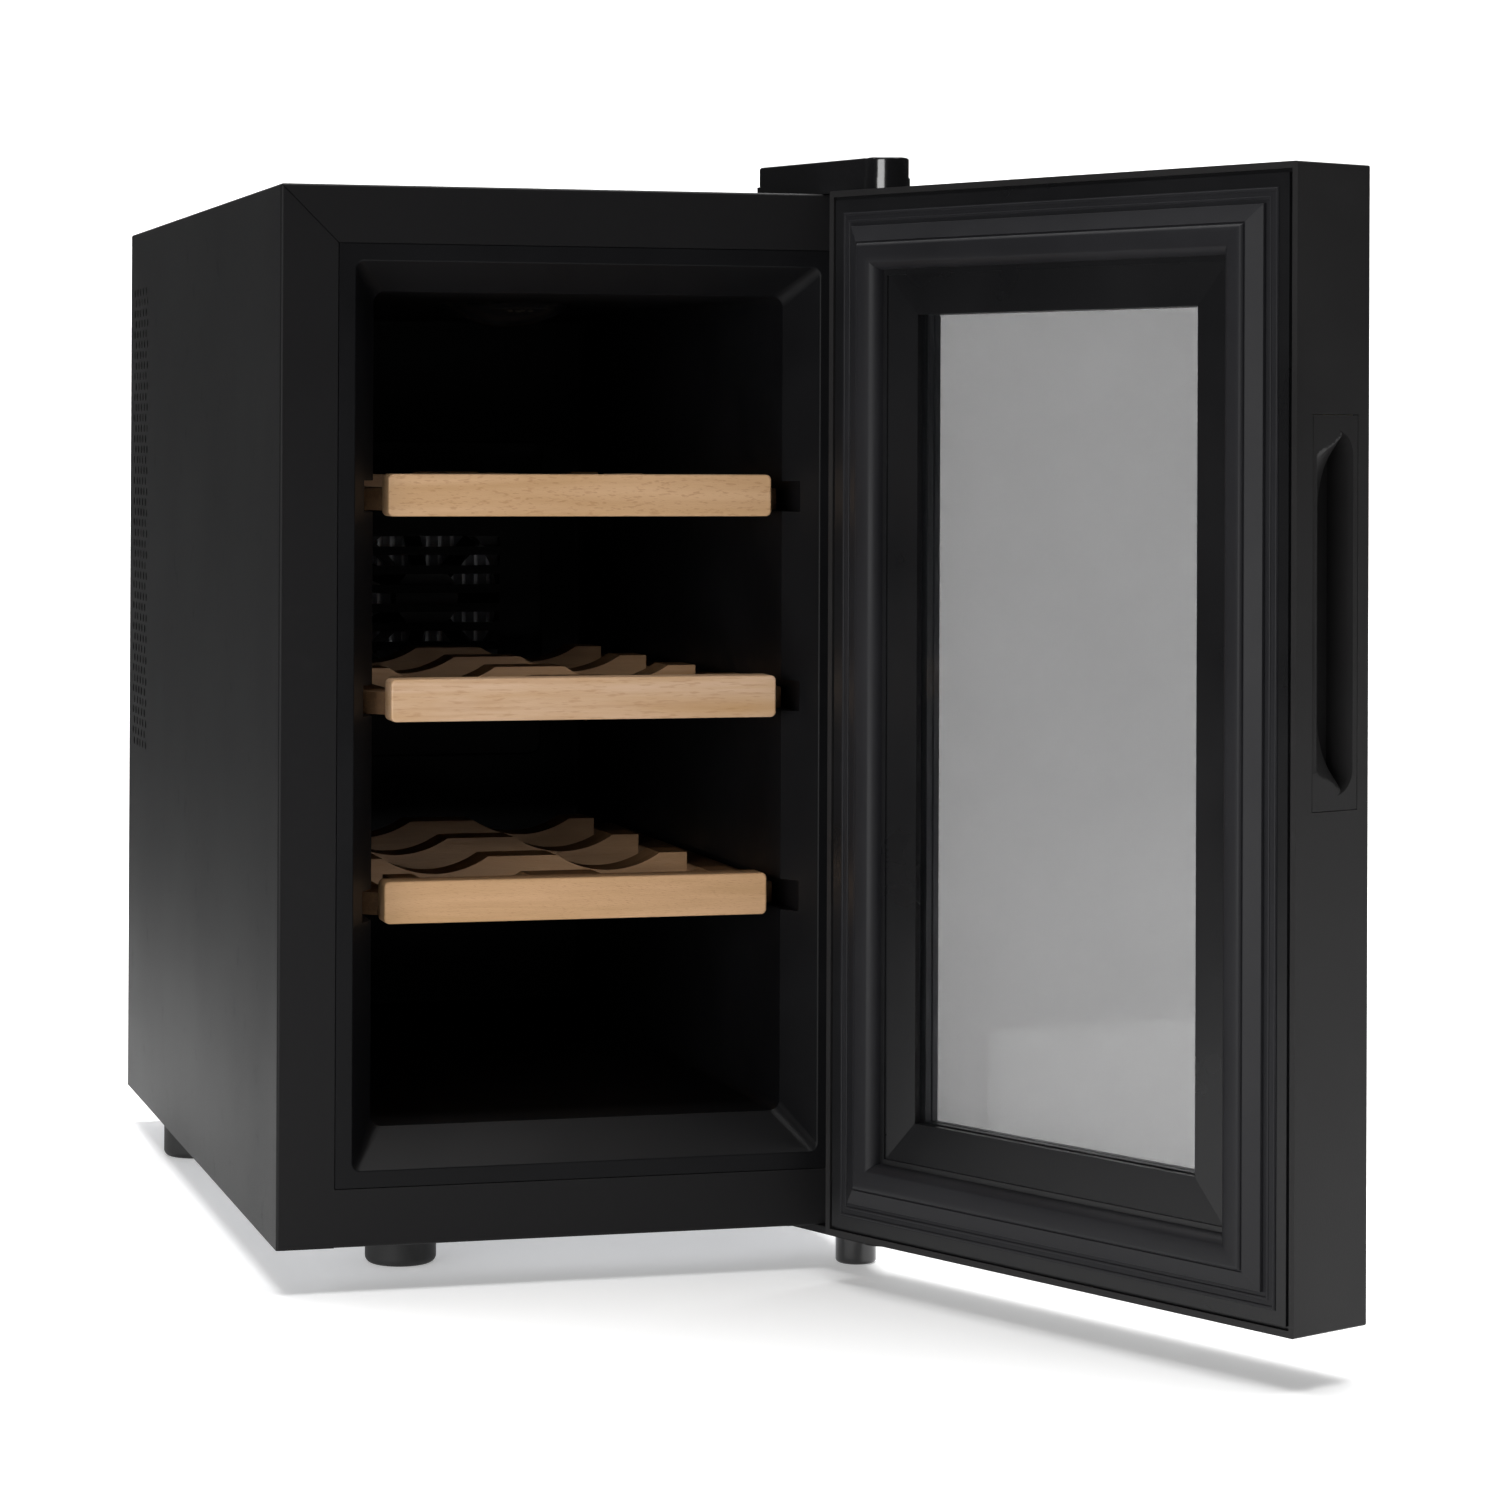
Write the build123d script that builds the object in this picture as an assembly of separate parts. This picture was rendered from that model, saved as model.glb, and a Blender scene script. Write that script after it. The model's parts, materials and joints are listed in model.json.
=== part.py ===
from build123d import *
import os

# Free-standing thermoelectric wine cooler with a glazed door, sliding beech shelves and two fans.
# The origin is on the floor under the middle of the cabinet's footprint. +X is to the right, +Y to the
# back and +Z up. All sizes are in millimetres. An inset or a margin is measured inward from the outline
# of the cabinet or the door, and a door depth "b" outward from the door's inner face.

# Cabinet casing
CAB_W = 252.0
CAB_H = 420.0
CAB_D = 440.0
FOOT_H = 18.0
SHEET = 1.0
FOLD_R = 1.2
SEAM_W = 0.4
SEAM_DEPTH = 0.5
STILE_W = 23.0
FRONT = -CAB_D / 2
BACK = CAB_D / 2
BASE = FOOT_H
TOP = FOOT_H + CAB_H
SILL_X = CAB_W / 2 - STILE_W

# Vents in both sides
VENT_R = 2.0
VENT_ROWS = 44
VENT_COLUMNS = 5
VENT_ROW_PITCH = 5.09
VENT_COLUMN_PITCH = 9.8
VENT_Y = FRONT + 382.0
VENT_Z = BASE + 171.5

# Feet
FOOT_R = 14.6
FRONT_FOOT = (-64.5, FRONT + 59.0)
SIDE_FOOT_X = 108.0
REAR_FOOT_Y = FRONT + 335.0
LEG_R = 8.4
LEG_X = 116.5
LEG_Y = FRONT + 12.0

# Liner and bottle cavity
MOUTH_INSET = 30.0
MOUTH_R = 3.5
THROAT_R = 4.5
FLANGE_GAP = 0.4
MOUTH_EDGE_R = 0.8
TUCK_INSET = 12.0
LINER_T = 2.5
BEVEL_D = 18.0
CAVITY_W = 170.6
CAVITY_H = 334.0
CAVITY_Z = 229.5
CAVITY_BACK = FRONT + 363.4
CAVITY_END_R = 4.0
FOAM_BACK = FRONT + 376.0
GROOVE_X = 90.5
GROOVE_H = 12.5
GROOVE_LIFT = 1.9
GROOVE_START = FRONT + 5.0
GROOVE_END = CAVITY_BACK - 40.0

# Shelves, from the bottom up: name and how far the front board stands behind the cabinet's face
SHELF_W = 159.4
SHELF_H = 17.0
SHELF_Z = BASE + 125.0
SHELF_PITCH = 81.7
SHELF_SETBACK = {"lower": 18.5, "middle": 6.0, "upper": 14.0}
BOARD_T = 14.0
BOARD_END_R = 2.2
BOARD_EDGE_R = 0.8
RAIL_X = 88.5
RAIL_W = 15.5
RAIL_H = 9.0
RAIL_L = 280.0
RAIL_LIFT = 2.2
RAIL_EDGE_R = 0.8
RAIL_NOSE = 9.0
SLAT_D = 22.0
SLAT_COUNT = 4
SLAT_SETBACK = 3.0
SLAT_DROP = 1.0
BOTTLE_X = 38.0
BOTTLE_R = 41.0
BOTTLE_LOW = 9.0

# Door, drawn closed and then swung open about the hinge axis
DOOR_GAP = 6.5
DOOR_T = 38.7
DOOR_LIFT = 1.5
DOOR_TOP_GAP = 0.5
DOOR_OPEN = 114.1
DOOR_EDGE_R = 0.8
DOOR_IN = FRONT - DOOR_GAP
DOOR_Z0 = BASE + DOOR_LIFT
DOOR_Z1 = TOP - DOOR_TOP_GAP
HINGE_X = CAB_W / 2 - 10.7
HINGE_Y = FRONT - 27.7
WALL = 2.5

# Glazing: the glass is counted from the room inwards as front, middle and inner
GLASS_T = 4.0
GLASS_FACE = DOOR_T - GLASS_T
PANE_T = 3.2
PANE_IN = 4.5
PANE_MARGIN = 32.0
SPACER_T = 6.5
SPACER_MARGIN = 43.5
SPACER_SLOT = 1.0
SIGHT_MARGIN = 50.5
SEAT_B = PANE_IN + 2 * PANE_T + SPACER_T
SEAT_MARGIN = 36.0
FRAME_INNER = 18.0
BEAD_MARGIN = 34.7
BEAD_RISE = 0.8
BEAD_FALL = 2.0

# Inner face of the door and its gasket
FACE_MARGIN = 3.9
FACE_T = 3.0
FACE_STEP = 1.2
CHANNEL = (10.5, 16.5)
CHANNEL_SLOT = (12.0, 15.0)
CHANNEL_B = 6.5
RIM = (28.5, 31.0)
TONGUE = (12.3, 14.7)
TONGUE_L = 4.6
GASKET_OUT = 10.0
GASKET_MID = 21.0
GASKET_IN = 32.5
FLANGE_H = 3.8
BULB_H = 6.2
BULB_R = 2.0
MAGNET_FROM = 2.1
MAGNET_TO = 4.6
MAGNET_WALL = 2.0

# Handle recess in the door's free side
HANDLE_Z = BASE + 258.5
HANDLE_SLOT_L = 131.0
HANDLE_SLOT_W = 19.0
HANDLE_Y = DOOR_IN - 20.4
HANDLE_DEPTH = 13.5
HANDLE_WALL = 1.5
HANDLE_PANEL_W = 24.0
HANDLE_PANEL_L = 142.0
HANDLE_PANEL_GAP = 0.25

# Hinges
PIN_R = 3.0
PIN_FIT = 0.05
PIN_SHORT = 2.0
BUSH_R = 5.0
BUSH_L = 14.0
BOSS_R = BUSH_R + 2.7
PLATE_T = 3.0
COVER_H = 13.4
COVER_WALL = 2.0
NOSE_R = 9.0
WASHER_R = 6.5
WASHER_T = 1.1

# Cooling unit, centred on one height: sinks are width, height, base thickness and fin height
COOL_Z = 262.0
INNER_FAN = 80.0
INNER_FAN_D = 15.0
OUTER_FAN = 92.0
OUTER_FAN_D = 25.0
FAN_HUB_R = 15.0
FAN_SHAFT_R = 1.5
FAN_BLADES = 7
FAN_STRUT = 4.0
FIN_T = 1.4
FIN_PITCH = 6.0
COLD_SINK = (90.0, 110.0, 6.0, 18.0)
HOT_SINK = (120.0, 130.0, 7.0, 20.0)
COLD_BLOCK = 24.0
MODULE = 20.0
MODULE_T = 4.5
COLD_SINK_TIP = CAVITY_BACK - COLD_SINK[2] - COLD_SINK[3]
INNER_FAN_Y = COLD_SINK_TIP - INNER_FAN_D - 0.5
HOT_SIDE = FOAM_BACK + MODULE_T
OUTER_FAN_Y = HOT_SIDE + HOT_SINK[2] + HOT_SINK[3] + 0.5
GUARD_T = 2.5

# Inner fan cover
FAN_COVER_W = 110.0
FAN_COVER_H = 150.0
FAN_COVER_T = 2.0
FAN_COVER_R = 6.0
LOUVRE = (68.0, 5.0, 9.0)
LOUVRES = 7

# Mains inlet, in the lower part of the back
INLET_Z = BASE + 34.0
INLET_W = 27.4
INLET_H = 20.0
INLET_DEPTH = 15.0
INLET_WALL = 2.2
BLADE_T = 2.0
BLADE_H = 5.0
BLADE_PITCH = 7.0

# Lamp in the cavity's ceiling
LAMP_Y = FRONT + 157.0
LAMP_Z = CAVITY_Z + CAVITY_H / 2
LAMP_BOARD_X = 6.5
LAMP_BOARD_R = 12.0
LAMP_BOARD_T = 1.6
LENS_R = 29.0
LENS_H = 10.5
LENS_T = 1.6


def block(x0, x1, y0, y1, z0, z1):
    """A box between the given limits."""
    middle = ((x0 + x1) / 2, (y0 + y1) / 2, (z0 + z1) / 2)
    return Pos(*middle) * Box(x1 - x0, y1 - y0, z1 - z0)


def rod_z(x, y, z0, z1, radius):
    """An upright cylinder from z0 to z1."""
    return Pos(x, y, (z0 + z1) / 2) * Cylinder(radius, z1 - z0)


def rod_y(x, y0, y1, z, radius):
    """A cylinder along Y from y0 to y1."""
    return Pos(x, (y0 + y1) / 2, z) * Rot(90, 0, 0) * Cylinder(radius, y1 - y0)


def group(solids):
    """Separate solids that share one node."""
    return Compound(children=list(solids))


def upright(y, z):
    """A drawing plane across the cabinet at depth y, centred on height z."""
    return Plane(origin=(0, y, z), x_dir=(1, 0, 0), z_dir=(0, 1, 0))


def cabinet_slab(inset, y0, y1):
    """The cabinet's outline, inset all round, between two depths."""
    plane = upright(y0, BASE + CAB_H / 2)
    return extrude(plane * Rectangle(CAB_W - 2 * inset, CAB_H - 2 * inset), y1 - y0)


# ---------------------------------------------------------------- cabinet casing


def vent_holes():
    """The staggered field of round holes through both side walls."""
    holes = []
    for row in range(VENT_ROWS):
        shift = VENT_COLUMN_PITCH / 2 * (row % 2)
        for column in range(VENT_COLUMNS):
            y = VENT_Y + column * VENT_COLUMN_PITCH + shift
            z = VENT_Z + row * VENT_ROW_PITCH
            holes.append(Location((0, y, z), (0, 90, 0)) * Cylinder(VENT_R, CAB_W + 2))
    return holes


def mitre_seams():
    """Fine diagonal seams where the front stiles meet the top rail."""
    seams = []
    for side in (-1, 1):
        middle = (side * (CAB_W - STILE_W) / 2, FRONT, TOP - STILE_W / 2)
        seams.append(Pos(*middle) * Rot(0, side * 45, 0) * Box(SEAM_W, 2 * SEAM_DEPTH, 2 * STILE_W))
    return seams


def outer_shell():
    """Folded steel wrap: both sides, the top, and the front stiles and top rail."""
    wrap = cabinet_slab(0, FRONT, BACK)
    wrap = fillet(wrap.edges().filter_by(Axis.Y).group_by(Axis.Z)[-1], FOLD_R)
    front_face = wrap.faces().sort_by(Axis.Y)[0]
    wrap = fillet(front_face.edges().sort_by(Axis.Z)[1:], FOLD_R)
    wrap -= cabinet_slab(SHEET, FRONT + SHEET, BACK)
    side = CAB_W / 2 - SHEET
    wrap -= block(-side, side, FRONT + SHEET, BACK, BASE, BASE + SHEET)
    wrap -= cabinet_slab(STILE_W, FRONT, FRONT + SHEET)
    wrap -= block(-SILL_X, SILL_X, FRONT, FRONT + SHEET, BASE, BASE + STILE_W)
    return wrap - mitre_seams() - vent_holes()


def front_rail():
    """Bottom front rail, folded back under the cabinet."""
    rail = block(-SILL_X, SILL_X, FRONT, FRONT + STILE_W, BASE, BASE + STILE_W)
    rail -= block(-SILL_X, SILL_X, FRONT + SHEET, FRONT + STILE_W, BASE + SHEET, BASE + STILE_W)
    fold = rail.edges().filter_by(Axis.X).sort_by(Axis.Z)[:2].sort_by(Axis.Y)[0]
    return fillet(fold, FOLD_R)


def base_pan():
    """Steel floor of the cabinet, notched round the front rail's return lip."""
    side = CAB_W / 2 - SHEET
    pan = block(-side, side, FRONT + SHEET, BACK - SHEET, BASE, BASE + SHEET)
    return pan - block(-SILL_X, SILL_X, FRONT + SHEET, FRONT + STILE_W, BASE, BASE + SHEET)


def grooves(grow):
    """Runner grooves of all the shelves, both sides, grown by the liner's thickness."""
    solids = []
    half_w = GROOVE_X + grow
    y0 = GROOVE_START - min(grow, 1.0)
    y1 = GROOVE_END + grow
    for level in range(len(SHELF_SETBACK)):
        z = SHELF_Z + level * SHELF_PITCH + GROOVE_LIFT
        solids.append(block(-half_w, half_w, y0, y1, z - grow, z + GROOVE_H + grow))
    return solids


def liner_form(grow):
    """The moulded form of the liner: a bevelled mouth, the cavity and its grooves."""
    mouth_size = (CAB_W - 2 * MOUTH_INSET + 2 * grow, CAB_H - 2 * MOUTH_INSET + 2 * grow)
    throat_size = (CAVITY_W + 2 * grow, CAVITY_H + 2 * grow)
    mouth = upright(FRONT, BASE + CAB_H / 2) * RectangleRounded(*mouth_size, MOUTH_R + grow)
    throat = upright(FRONT + BEVEL_D, CAVITY_Z) * RectangleRounded(*throat_size, THROAT_R + grow)
    cavity = extrude(throat, CAVITY_BACK + grow - FRONT - BEVEL_D)
    cavity = fillet(cavity.faces().sort_by(Axis.Y)[-1].edges(), CAVITY_END_R + grow)
    return loft([mouth, throat]) + cavity + grooves(grow)


def liner_flange():
    """The liner's front flange, which shows inside the steel frame and tucks in behind it."""
    shown = cabinet_slab(STILE_W + FLANGE_GAP, FRONT, FRONT + SHEET)
    tucked = cabinet_slab(TUCK_INSET, FRONT + SHEET, FRONT + SHEET + LINER_T)
    return shown + tucked


def cooling_window():
    """The square hole through the cavity's back wall for the cold block."""
    half = COLD_BLOCK + 1
    return block(-half, half, CAVITY_BACK - 1, FOAM_BACK + 1, COOL_Z - half, COOL_Z + half)


def inner_liner():
    """Moulded plastic tub of the bottle cavity, with a softened edge round its mouth."""
    tub = liner_flange() + liner_form(LINER_T) - liner_form(0)
    inset = MOUTH_INSET - 1
    in_front = tub.edges().filter_by_position(Axis.Y, FRONT - 0.01, FRONT + 0.01)
    mouth = [edge for edge in in_front if abs(edge.center().X) < CAB_W / 2 - inset
             and abs(edge.center().Z - BASE - CAB_H / 2) < CAB_H / 2 - inset]
    return fillet(mouth, MOUTH_EDGE_R) - cooling_window()


def cabinet_foam():
    """Insulation between the steel casing and the liner."""
    fill = cabinet_slab(SHEET, FRONT + SHEET, FOAM_BACK)
    return fill - liner_form(LINER_T) - liner_flange() - cooling_window()


def back_panel():
    """Rear sheet with a round fan opening, low air slots and the inlet's opening."""
    slot_w, slot_h, slot_pitch, slot_rows = 140, 4, 9, 8
    slot_z = BASE + 100
    fan_opening_r = 43
    panel = cabinet_slab(SHEET, BACK - SHEET, BACK)
    panel -= rod_y(0, BACK - 2, BACK + 1, COOL_Z, fan_opening_r)
    for row in range(slot_rows):
        z = slot_z + slot_pitch * row
        panel -= block(-slot_w / 2, slot_w / 2, BACK - 2, BACK + 1, z, z + slot_h)
    return panel - inlet_block(INLET_W, INLET_H, BACK - 2, BACK + 1)


def rear_fan_guard():
    """Moulded guard over the rear fan: rings joined by two crossed bars."""
    ring_w, bar_w = 2, 2
    rim = (48, 42)
    rings = (32, 22, 12)
    guard = rod_y(0, BACK, BACK + GUARD_T, COOL_Z, rim[0])
    guard -= rod_y(0, BACK, BACK + GUARD_T, COOL_Z, rim[1])
    for radius in rings:
        guard += rod_y(0, BACK, BACK + GUARD_T, COOL_Z, radius)
        guard -= rod_y(0, BACK, BACK + GUARD_T, COOL_Z, radius - ring_w)
    for turn in (45, 135):
        middle = Pos(0, BACK + GUARD_T / 2, COOL_Z)
        guard += middle * Rot(0, turn, 0) * Box(rim[0] + rim[1], GUARD_T, bar_w)
    return guard


def rear_spacers():
    """Two blocks that keep the back clear of a wall."""
    half_w, depth, edge_r = 12, 19.8, 2
    spacers = []
    for side in (-1, 1):
        x = side * 95
        spacer = block(x - half_w, x + half_w, BACK, BACK + depth, TOP - 40, TOP - 16)
        spacers.append(fillet(spacer.faces().sort_by(Axis.Y)[-1].edges(), edge_r))
    return group(spacers)


def foot(x, y):
    """Round rubber foot with a rounded lower edge."""
    body = rod_z(x, y, 0, FOOT_H, FOOT_R)
    return fillet(body.edges().group_by(Axis.Z)[0], 3)


# ---------------------------------------------------------------- screws


def screws(points, length, facing):
    """Pan-head screws whose seats are at the given points and whose heads all face one way."""
    head_r, head_h, shank_r, dome_r = 3.4, 2.0, 1.6, 1.2
    solids = []
    for point in points:
        place = Plane(origin=point, z_dir=facing)
        head = Pos(0, 0, head_h / 2) * Cylinder(head_r, head_h)
        head = fillet(head.edges().group_by(Axis.Z)[-1], dome_r)
        shank = Pos(0, 0, -length / 2) * Cylinder(shank_r, length)
        solids.append(place * (head + shank))
    return solids


PANEL_SCREWS = screws(
    [
        (side * x, BACK, z)
        for side in (-1, 1)
        for x, z in ((118, BASE + 60), (118, TOP - 60), (60, TOP - 8), (60, BASE + 8))
    ],
    5,
    (0, 1, 0),
)
UPPER_SCREWS = screws(
    [(x, FRONT + y, TOP + PLATE_T) for x, y in ((98, 34), (114, 34), (106, 14))],
    9,
    (0, 0, 1),
)
LOWER_SCREWS = screws(
    [(x, FRONT + y, BASE - PLATE_T) for x, y in ((92, 26), (104, 26))],
    9,
    (0, 0, -1),
)


# ---------------------------------------------------------------- cooling unit


def finned_sink(size, y0, facing):
    """Extruded aluminium heat sink with upright fins, fins towards -Y or +Y."""
    width, height, base_t, fin_h = size
    z0 = COOL_Z - height / 2
    z1 = COOL_Z + height / 2
    root = y0 + facing * base_t
    tip = root + facing * fin_h
    sink = block(-width / 2, width / 2, min(y0, root), max(y0, root), z0, z1)
    fins = int(width // FIN_PITCH)
    for index in range(fins + 1):
        x = -width / 2 + index * (width - FIN_T) / fins
        sink += block(x, x + FIN_T, min(root, tip), max(root, tip), z0, z1)
    return sink


def fan_frame(size, depth, y0):
    """Square fan housing with a round duct and a hub on four struts at its back."""
    y1 = y0 + depth
    duct = size / 2 - 3
    frame = block(-size / 2, size / 2, y0, y1, COOL_Z - size / 2, COOL_Z + size / 2)
    frame = fillet(frame.edges().filter_by(Axis.Y), 3)
    frame -= rod_y(0, y0 - 1, y1 + 1, COOL_Z, duct)
    for turn in (45, 135):
        middle = Pos(0, y1 - FAN_STRUT / 2, COOL_Z)
        frame += middle * Rot(0, turn, 0) * Box(2 * duct + 2, FAN_STRUT, FAN_STRUT)
    frame += rod_y(0, y1 - FAN_STRUT, y1, COOL_Z, FAN_HUB_R)
    return frame - rod_y(0, y0, y1 - 1, COOL_Z, FAN_SHAFT_R + PIN_FIT)


def fan_rotor(size, depth, y0):
    """Fan wheel with the shaft that runs in the housing's hub."""
    front = y0 + 1
    back = y0 + depth - FAN_STRUT - 1
    shaft_end = y0 + depth - 1.5
    overlap, blade_t, blade_turn, tip_gap = 2, 1.4, 52, 4.5
    span = size / 2 - tip_gap - FAN_HUB_R + overlap
    wheel = rod_y(0, front, back, COOL_Z, FAN_HUB_R) + rod_y(0, back, shaft_end, COOL_Z, FAN_SHAFT_R)
    blade = Rot(blade_turn, 0, 0) * Box(span, back - front - 1, blade_t)
    blade = Pos(FAN_HUB_R - overlap + span / 2, 0, 0) * blade
    for index in range(FAN_BLADES):
        wheel += Pos(0, (front + back) / 2, COOL_Z) * Rot(0, 360 / FAN_BLADES * index, 0) * blade
    return wheel


def inner_fan_cover():
    """Louvred cover over the fan on the cavity's back wall."""
    front = INNER_FAN_Y - 5
    half_w = FAN_COVER_W / 2
    low, high = COOL_Z - FAN_COVER_H / 2, COOL_Z + FAN_COVER_H / 2
    cover = block(-half_w, half_w, front, CAVITY_BACK, low, high)
    cover = fillet(cover.edges().filter_by(Axis.Y), FAN_COVER_R)
    cover = fillet(cover.faces().sort_by(Axis.Y)[0].edges(), 1.5)
    wall = FAN_COVER_T
    cover -= block(-half_w + wall, half_w - wall, front + wall, CAVITY_BACK + 1, low + wall, high - wall)
    louvre_w, louvre_h, louvre_pitch = LOUVRE
    for row in range(LOUVRES):
        z = COOL_Z + (row - LOUVRES // 2) * louvre_pitch - louvre_h / 2
        cover -= block(-louvre_w / 2, louvre_w / 2, front - 1, front + wall + 1, z, z + louvre_h)
    for end in (low, high - wall):
        cover -= block(-30, 30, front + 12, front + 26, end - 1, end + wall + 1)
    return cover


def cold_block():
    """Aluminium block that carries heat from the cold sink through the back wall."""
    half = COLD_BLOCK
    return block(-half, half, CAVITY_BACK, FOAM_BACK, COOL_Z - half, COOL_Z + half)


def thermoelectric_module():
    """Flat Peltier module between the cold block and the hot sink."""
    return block(-MODULE, MODULE, FOAM_BACK, HOT_SIDE, COOL_Z - MODULE, COOL_Z + MODULE)


def temperature_sensor():
    """Bead sensor clipped beside the cold sink."""
    radius = 2.5
    return rod_z(COLD_SINK[0] / 2 + 4.5, CAVITY_BACK - radius, COOL_Z - 60, COOL_Z - 42, radius)


def power_board():
    """Mains board with its transformer, relay and capacitors, low in the rear compartment."""
    y = FRONT + 396
    face = y + 1.6
    board = block(-100, 60, y, face, BASE + 8, BASE + 72)
    transformer = block(-90, -50, face, y + 28, BASE + 14, BASE + 50)
    relay = block(-40, -18, face, y + 17, BASE + 16, BASE + 34)
    capacitors = [rod_y(x, face, y + 22, BASE + 60, 5) for x in (0, 14, 28)]
    return board + transformer + relay + capacitors


def inlet_block(width, height, y0, y1):
    """A box centred on the mains inlet."""
    return block(-width / 2, width / 2, y0, y1, INLET_Z - height / 2, INLET_Z + height / 2)


def power_inlet():
    """Appliance inlet socket set into the back panel."""
    flange = inlet_block(INLET_W + 8.6, INLET_H + 6, BACK, BACK + 2)
    flange = fillet(flange.edges().filter_by(Axis.Y), 2)
    body = inlet_block(INLET_W, INLET_H, BACK - INLET_DEPTH - 3, BACK)
    wall = 2 * INLET_WALL
    return flange + body - inlet_block(INLET_W - wall, INLET_H - wall, BACK - INLET_DEPTH, BACK + 3)


def inlet_pins():
    """The socket's three flat blades."""
    blades = []
    for step in (-1, 0, 1):
        x = step * BLADE_PITCH - BLADE_T / 2
        z = INLET_Z + (2.0 if step == 0 else -2.0) - BLADE_H / 2
        blades.append(block(x, x + BLADE_T, BACK - INLET_DEPTH, BACK - 3, z, z + BLADE_H))
    return group(blades)


# ---------------------------------------------------------------- lamp


def dome(radius, height):
    """Spherical cap that hangs below the cavity's ceiling."""
    sphere_r = (radius**2 + height**2) / (2 * height)
    ball = Pos(0, LAMP_Y, LAMP_Z - height + sphere_r) * Sphere(sphere_r)
    return ball & rod_z(0, LAMP_Y, LAMP_Z - height - 1, LAMP_Z, radius + 1)


def lamp_lens():
    """Shallow domed lens of the cavity lamp."""
    return dome(LENS_R, LENS_H) - dome(LENS_R - LENS_T, LENS_H - LENS_T)


def lamp_board():
    """Round lamp board with its light-emitting diodes."""
    diode_w, diode_d, diode_h, ring_r = 2.4, 2.0, 0.8, 4.5
    board = rod_z(LAMP_BOARD_X, LAMP_Y, LAMP_Z - LAMP_BOARD_T, LAMP_Z, LAMP_BOARD_R)
    below = LAMP_Z - LAMP_BOARD_T - diode_h / 2
    diode = Pos(ring_r, 0, 0) * Box(diode_w, diode_d, diode_h)
    for turn in range(4):
        board += Pos(LAMP_BOARD_X, LAMP_Y, below) * Rot(0, 0, 90 * turn) * diode
    return board


# ---------------------------------------------------------------- hinges


def hinge_outline(left, right, back_y, nose_r):
    """Plan of a hinge piece: square at the back, with a round nose at the hinge axis."""
    nose = Pos(HINGE_X, HINGE_Y) * Circle(nose_r)
    tail = Polyline(
        (HINGE_X - nose_r, HINGE_Y),
        (HINGE_X + nose_r, HINGE_Y),
        (right, FRONT + 2),
        (right, back_y),
        (left, back_y),
        close=True,
    )
    return nose + make_face(tail)


def hinge_cover():
    """Gloss cap over the upper hinge, with a small plinth round its foot."""
    left, right, back_y = 83, 123.5, FRONT + 45
    wall = COVER_WALL
    cap = Pos(0, 0, TOP) * extrude(hinge_outline(left, right, back_y, NOSE_R), COVER_H)
    cap = fillet(cap.edges().group_by(Axis.Z)[-1], 1.2)
    hollow = hinge_outline(left + 2 * wall, right - wall, back_y - wall, NOSE_R - wall)
    inside = Pos(0, 0, TOP) * extrude(hollow, COVER_H - wall)
    step, plinth_h = 0.8, 5
    foot_plan = hinge_outline(left - step, right + step, back_y + step, NOSE_R + 0.5)
    plinth = Pos(0, 0, TOP) * extrude(foot_plan, plinth_h)
    return cap + plinth - inside


def upper_hinge_plate():
    """Steel plate screwed to the cabinet's top, with an arm out to the hinge axis."""
    plan = hinge_outline(91, 120, FRONT + 41, NOSE_R - 2.4)
    plate = Pos(0, 0, TOP) * extrude(plan, PLATE_T)
    return plate - UPPER_SCREWS - rod_z(HINGE_X, HINGE_Y, TOP - 1, TOP + PLATE_T + 1, PIN_R)


def upper_hinge_pin():
    """Riveted pin that hangs from the upper plate into the door's bush."""
    return rod_z(HINGE_X, HINGE_Y, DOOR_Z1 - BUSH_L + PIN_SHORT, TOP + PLATE_T, PIN_R)


def lower_hinge_bracket():
    """Steel bracket under the cabinet that carries the door's weight."""
    plan = hinge_outline(84, 124, FRONT + 33, 8)
    bracket = Pos(0, 0, BASE - PLATE_T) * extrude(plan, PLATE_T)
    leg_hole = rod_z(LEG_X, LEG_Y, BASE - PLATE_T - 1, BASE + 1, PIN_R)
    pin_hole = rod_z(HINGE_X, HINGE_Y, BASE - PLATE_T - 1, BASE + 1, PIN_R)
    return bracket - LOWER_SCREWS - leg_hole - pin_hole


def levelling_leg():
    """Screw-in levelling leg in the lower bracket."""
    leg = rod_z(LEG_X, LEG_Y, 0, BASE - PLATE_T, LEG_R)
    leg = fillet(leg.edges().group_by(Axis.Z)[0], 1.5)
    return leg + rod_z(LEG_X, LEG_Y, BASE - PLATE_T, BASE, PIN_R)


def lower_hinge_pin():
    """Pin that stands up from the lower bracket into the door's bush."""
    return rod_z(HINGE_X, HINGE_Y, BASE - PLATE_T, DOOR_Z0 + BUSH_L - PIN_SHORT, PIN_R)


def hinge_washer():
    """Nylon washer on the lower pin, under the door."""
    washer = rod_z(HINGE_X, HINGE_Y, BASE, BASE + WASHER_T, WASHER_R)
    return washer - rod_z(HINGE_X, HINGE_Y, BASE - 1, BASE + 2, PIN_R)


# ---------------------------------------------------------------- door, drawn closed


def door_outline(margin, b):
    """The door's outline at depth b, inset by a margin."""
    middle = (0, DOOR_IN - b, (DOOR_Z0 + DOOR_Z1) / 2)
    plane = Plane(origin=middle, x_dir=(1, 0, 0), z_dir=(0, -1, 0))
    return plane * Rectangle(CAB_W - 2 * margin, DOOR_Z1 - DOOR_Z0 - 2 * margin)


def door_slab(margin, b0, b1):
    """The door's outline, inset by a margin, from depth b0 to b1."""
    return extrude(door_outline(margin, b0), b1 - b0)


def door_ring(outer, inner, b0, b1):
    """A rectangular ring between two margins and two depths."""
    return door_slab(outer, b0, b1) - door_slab(inner, b0, b1)


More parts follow.
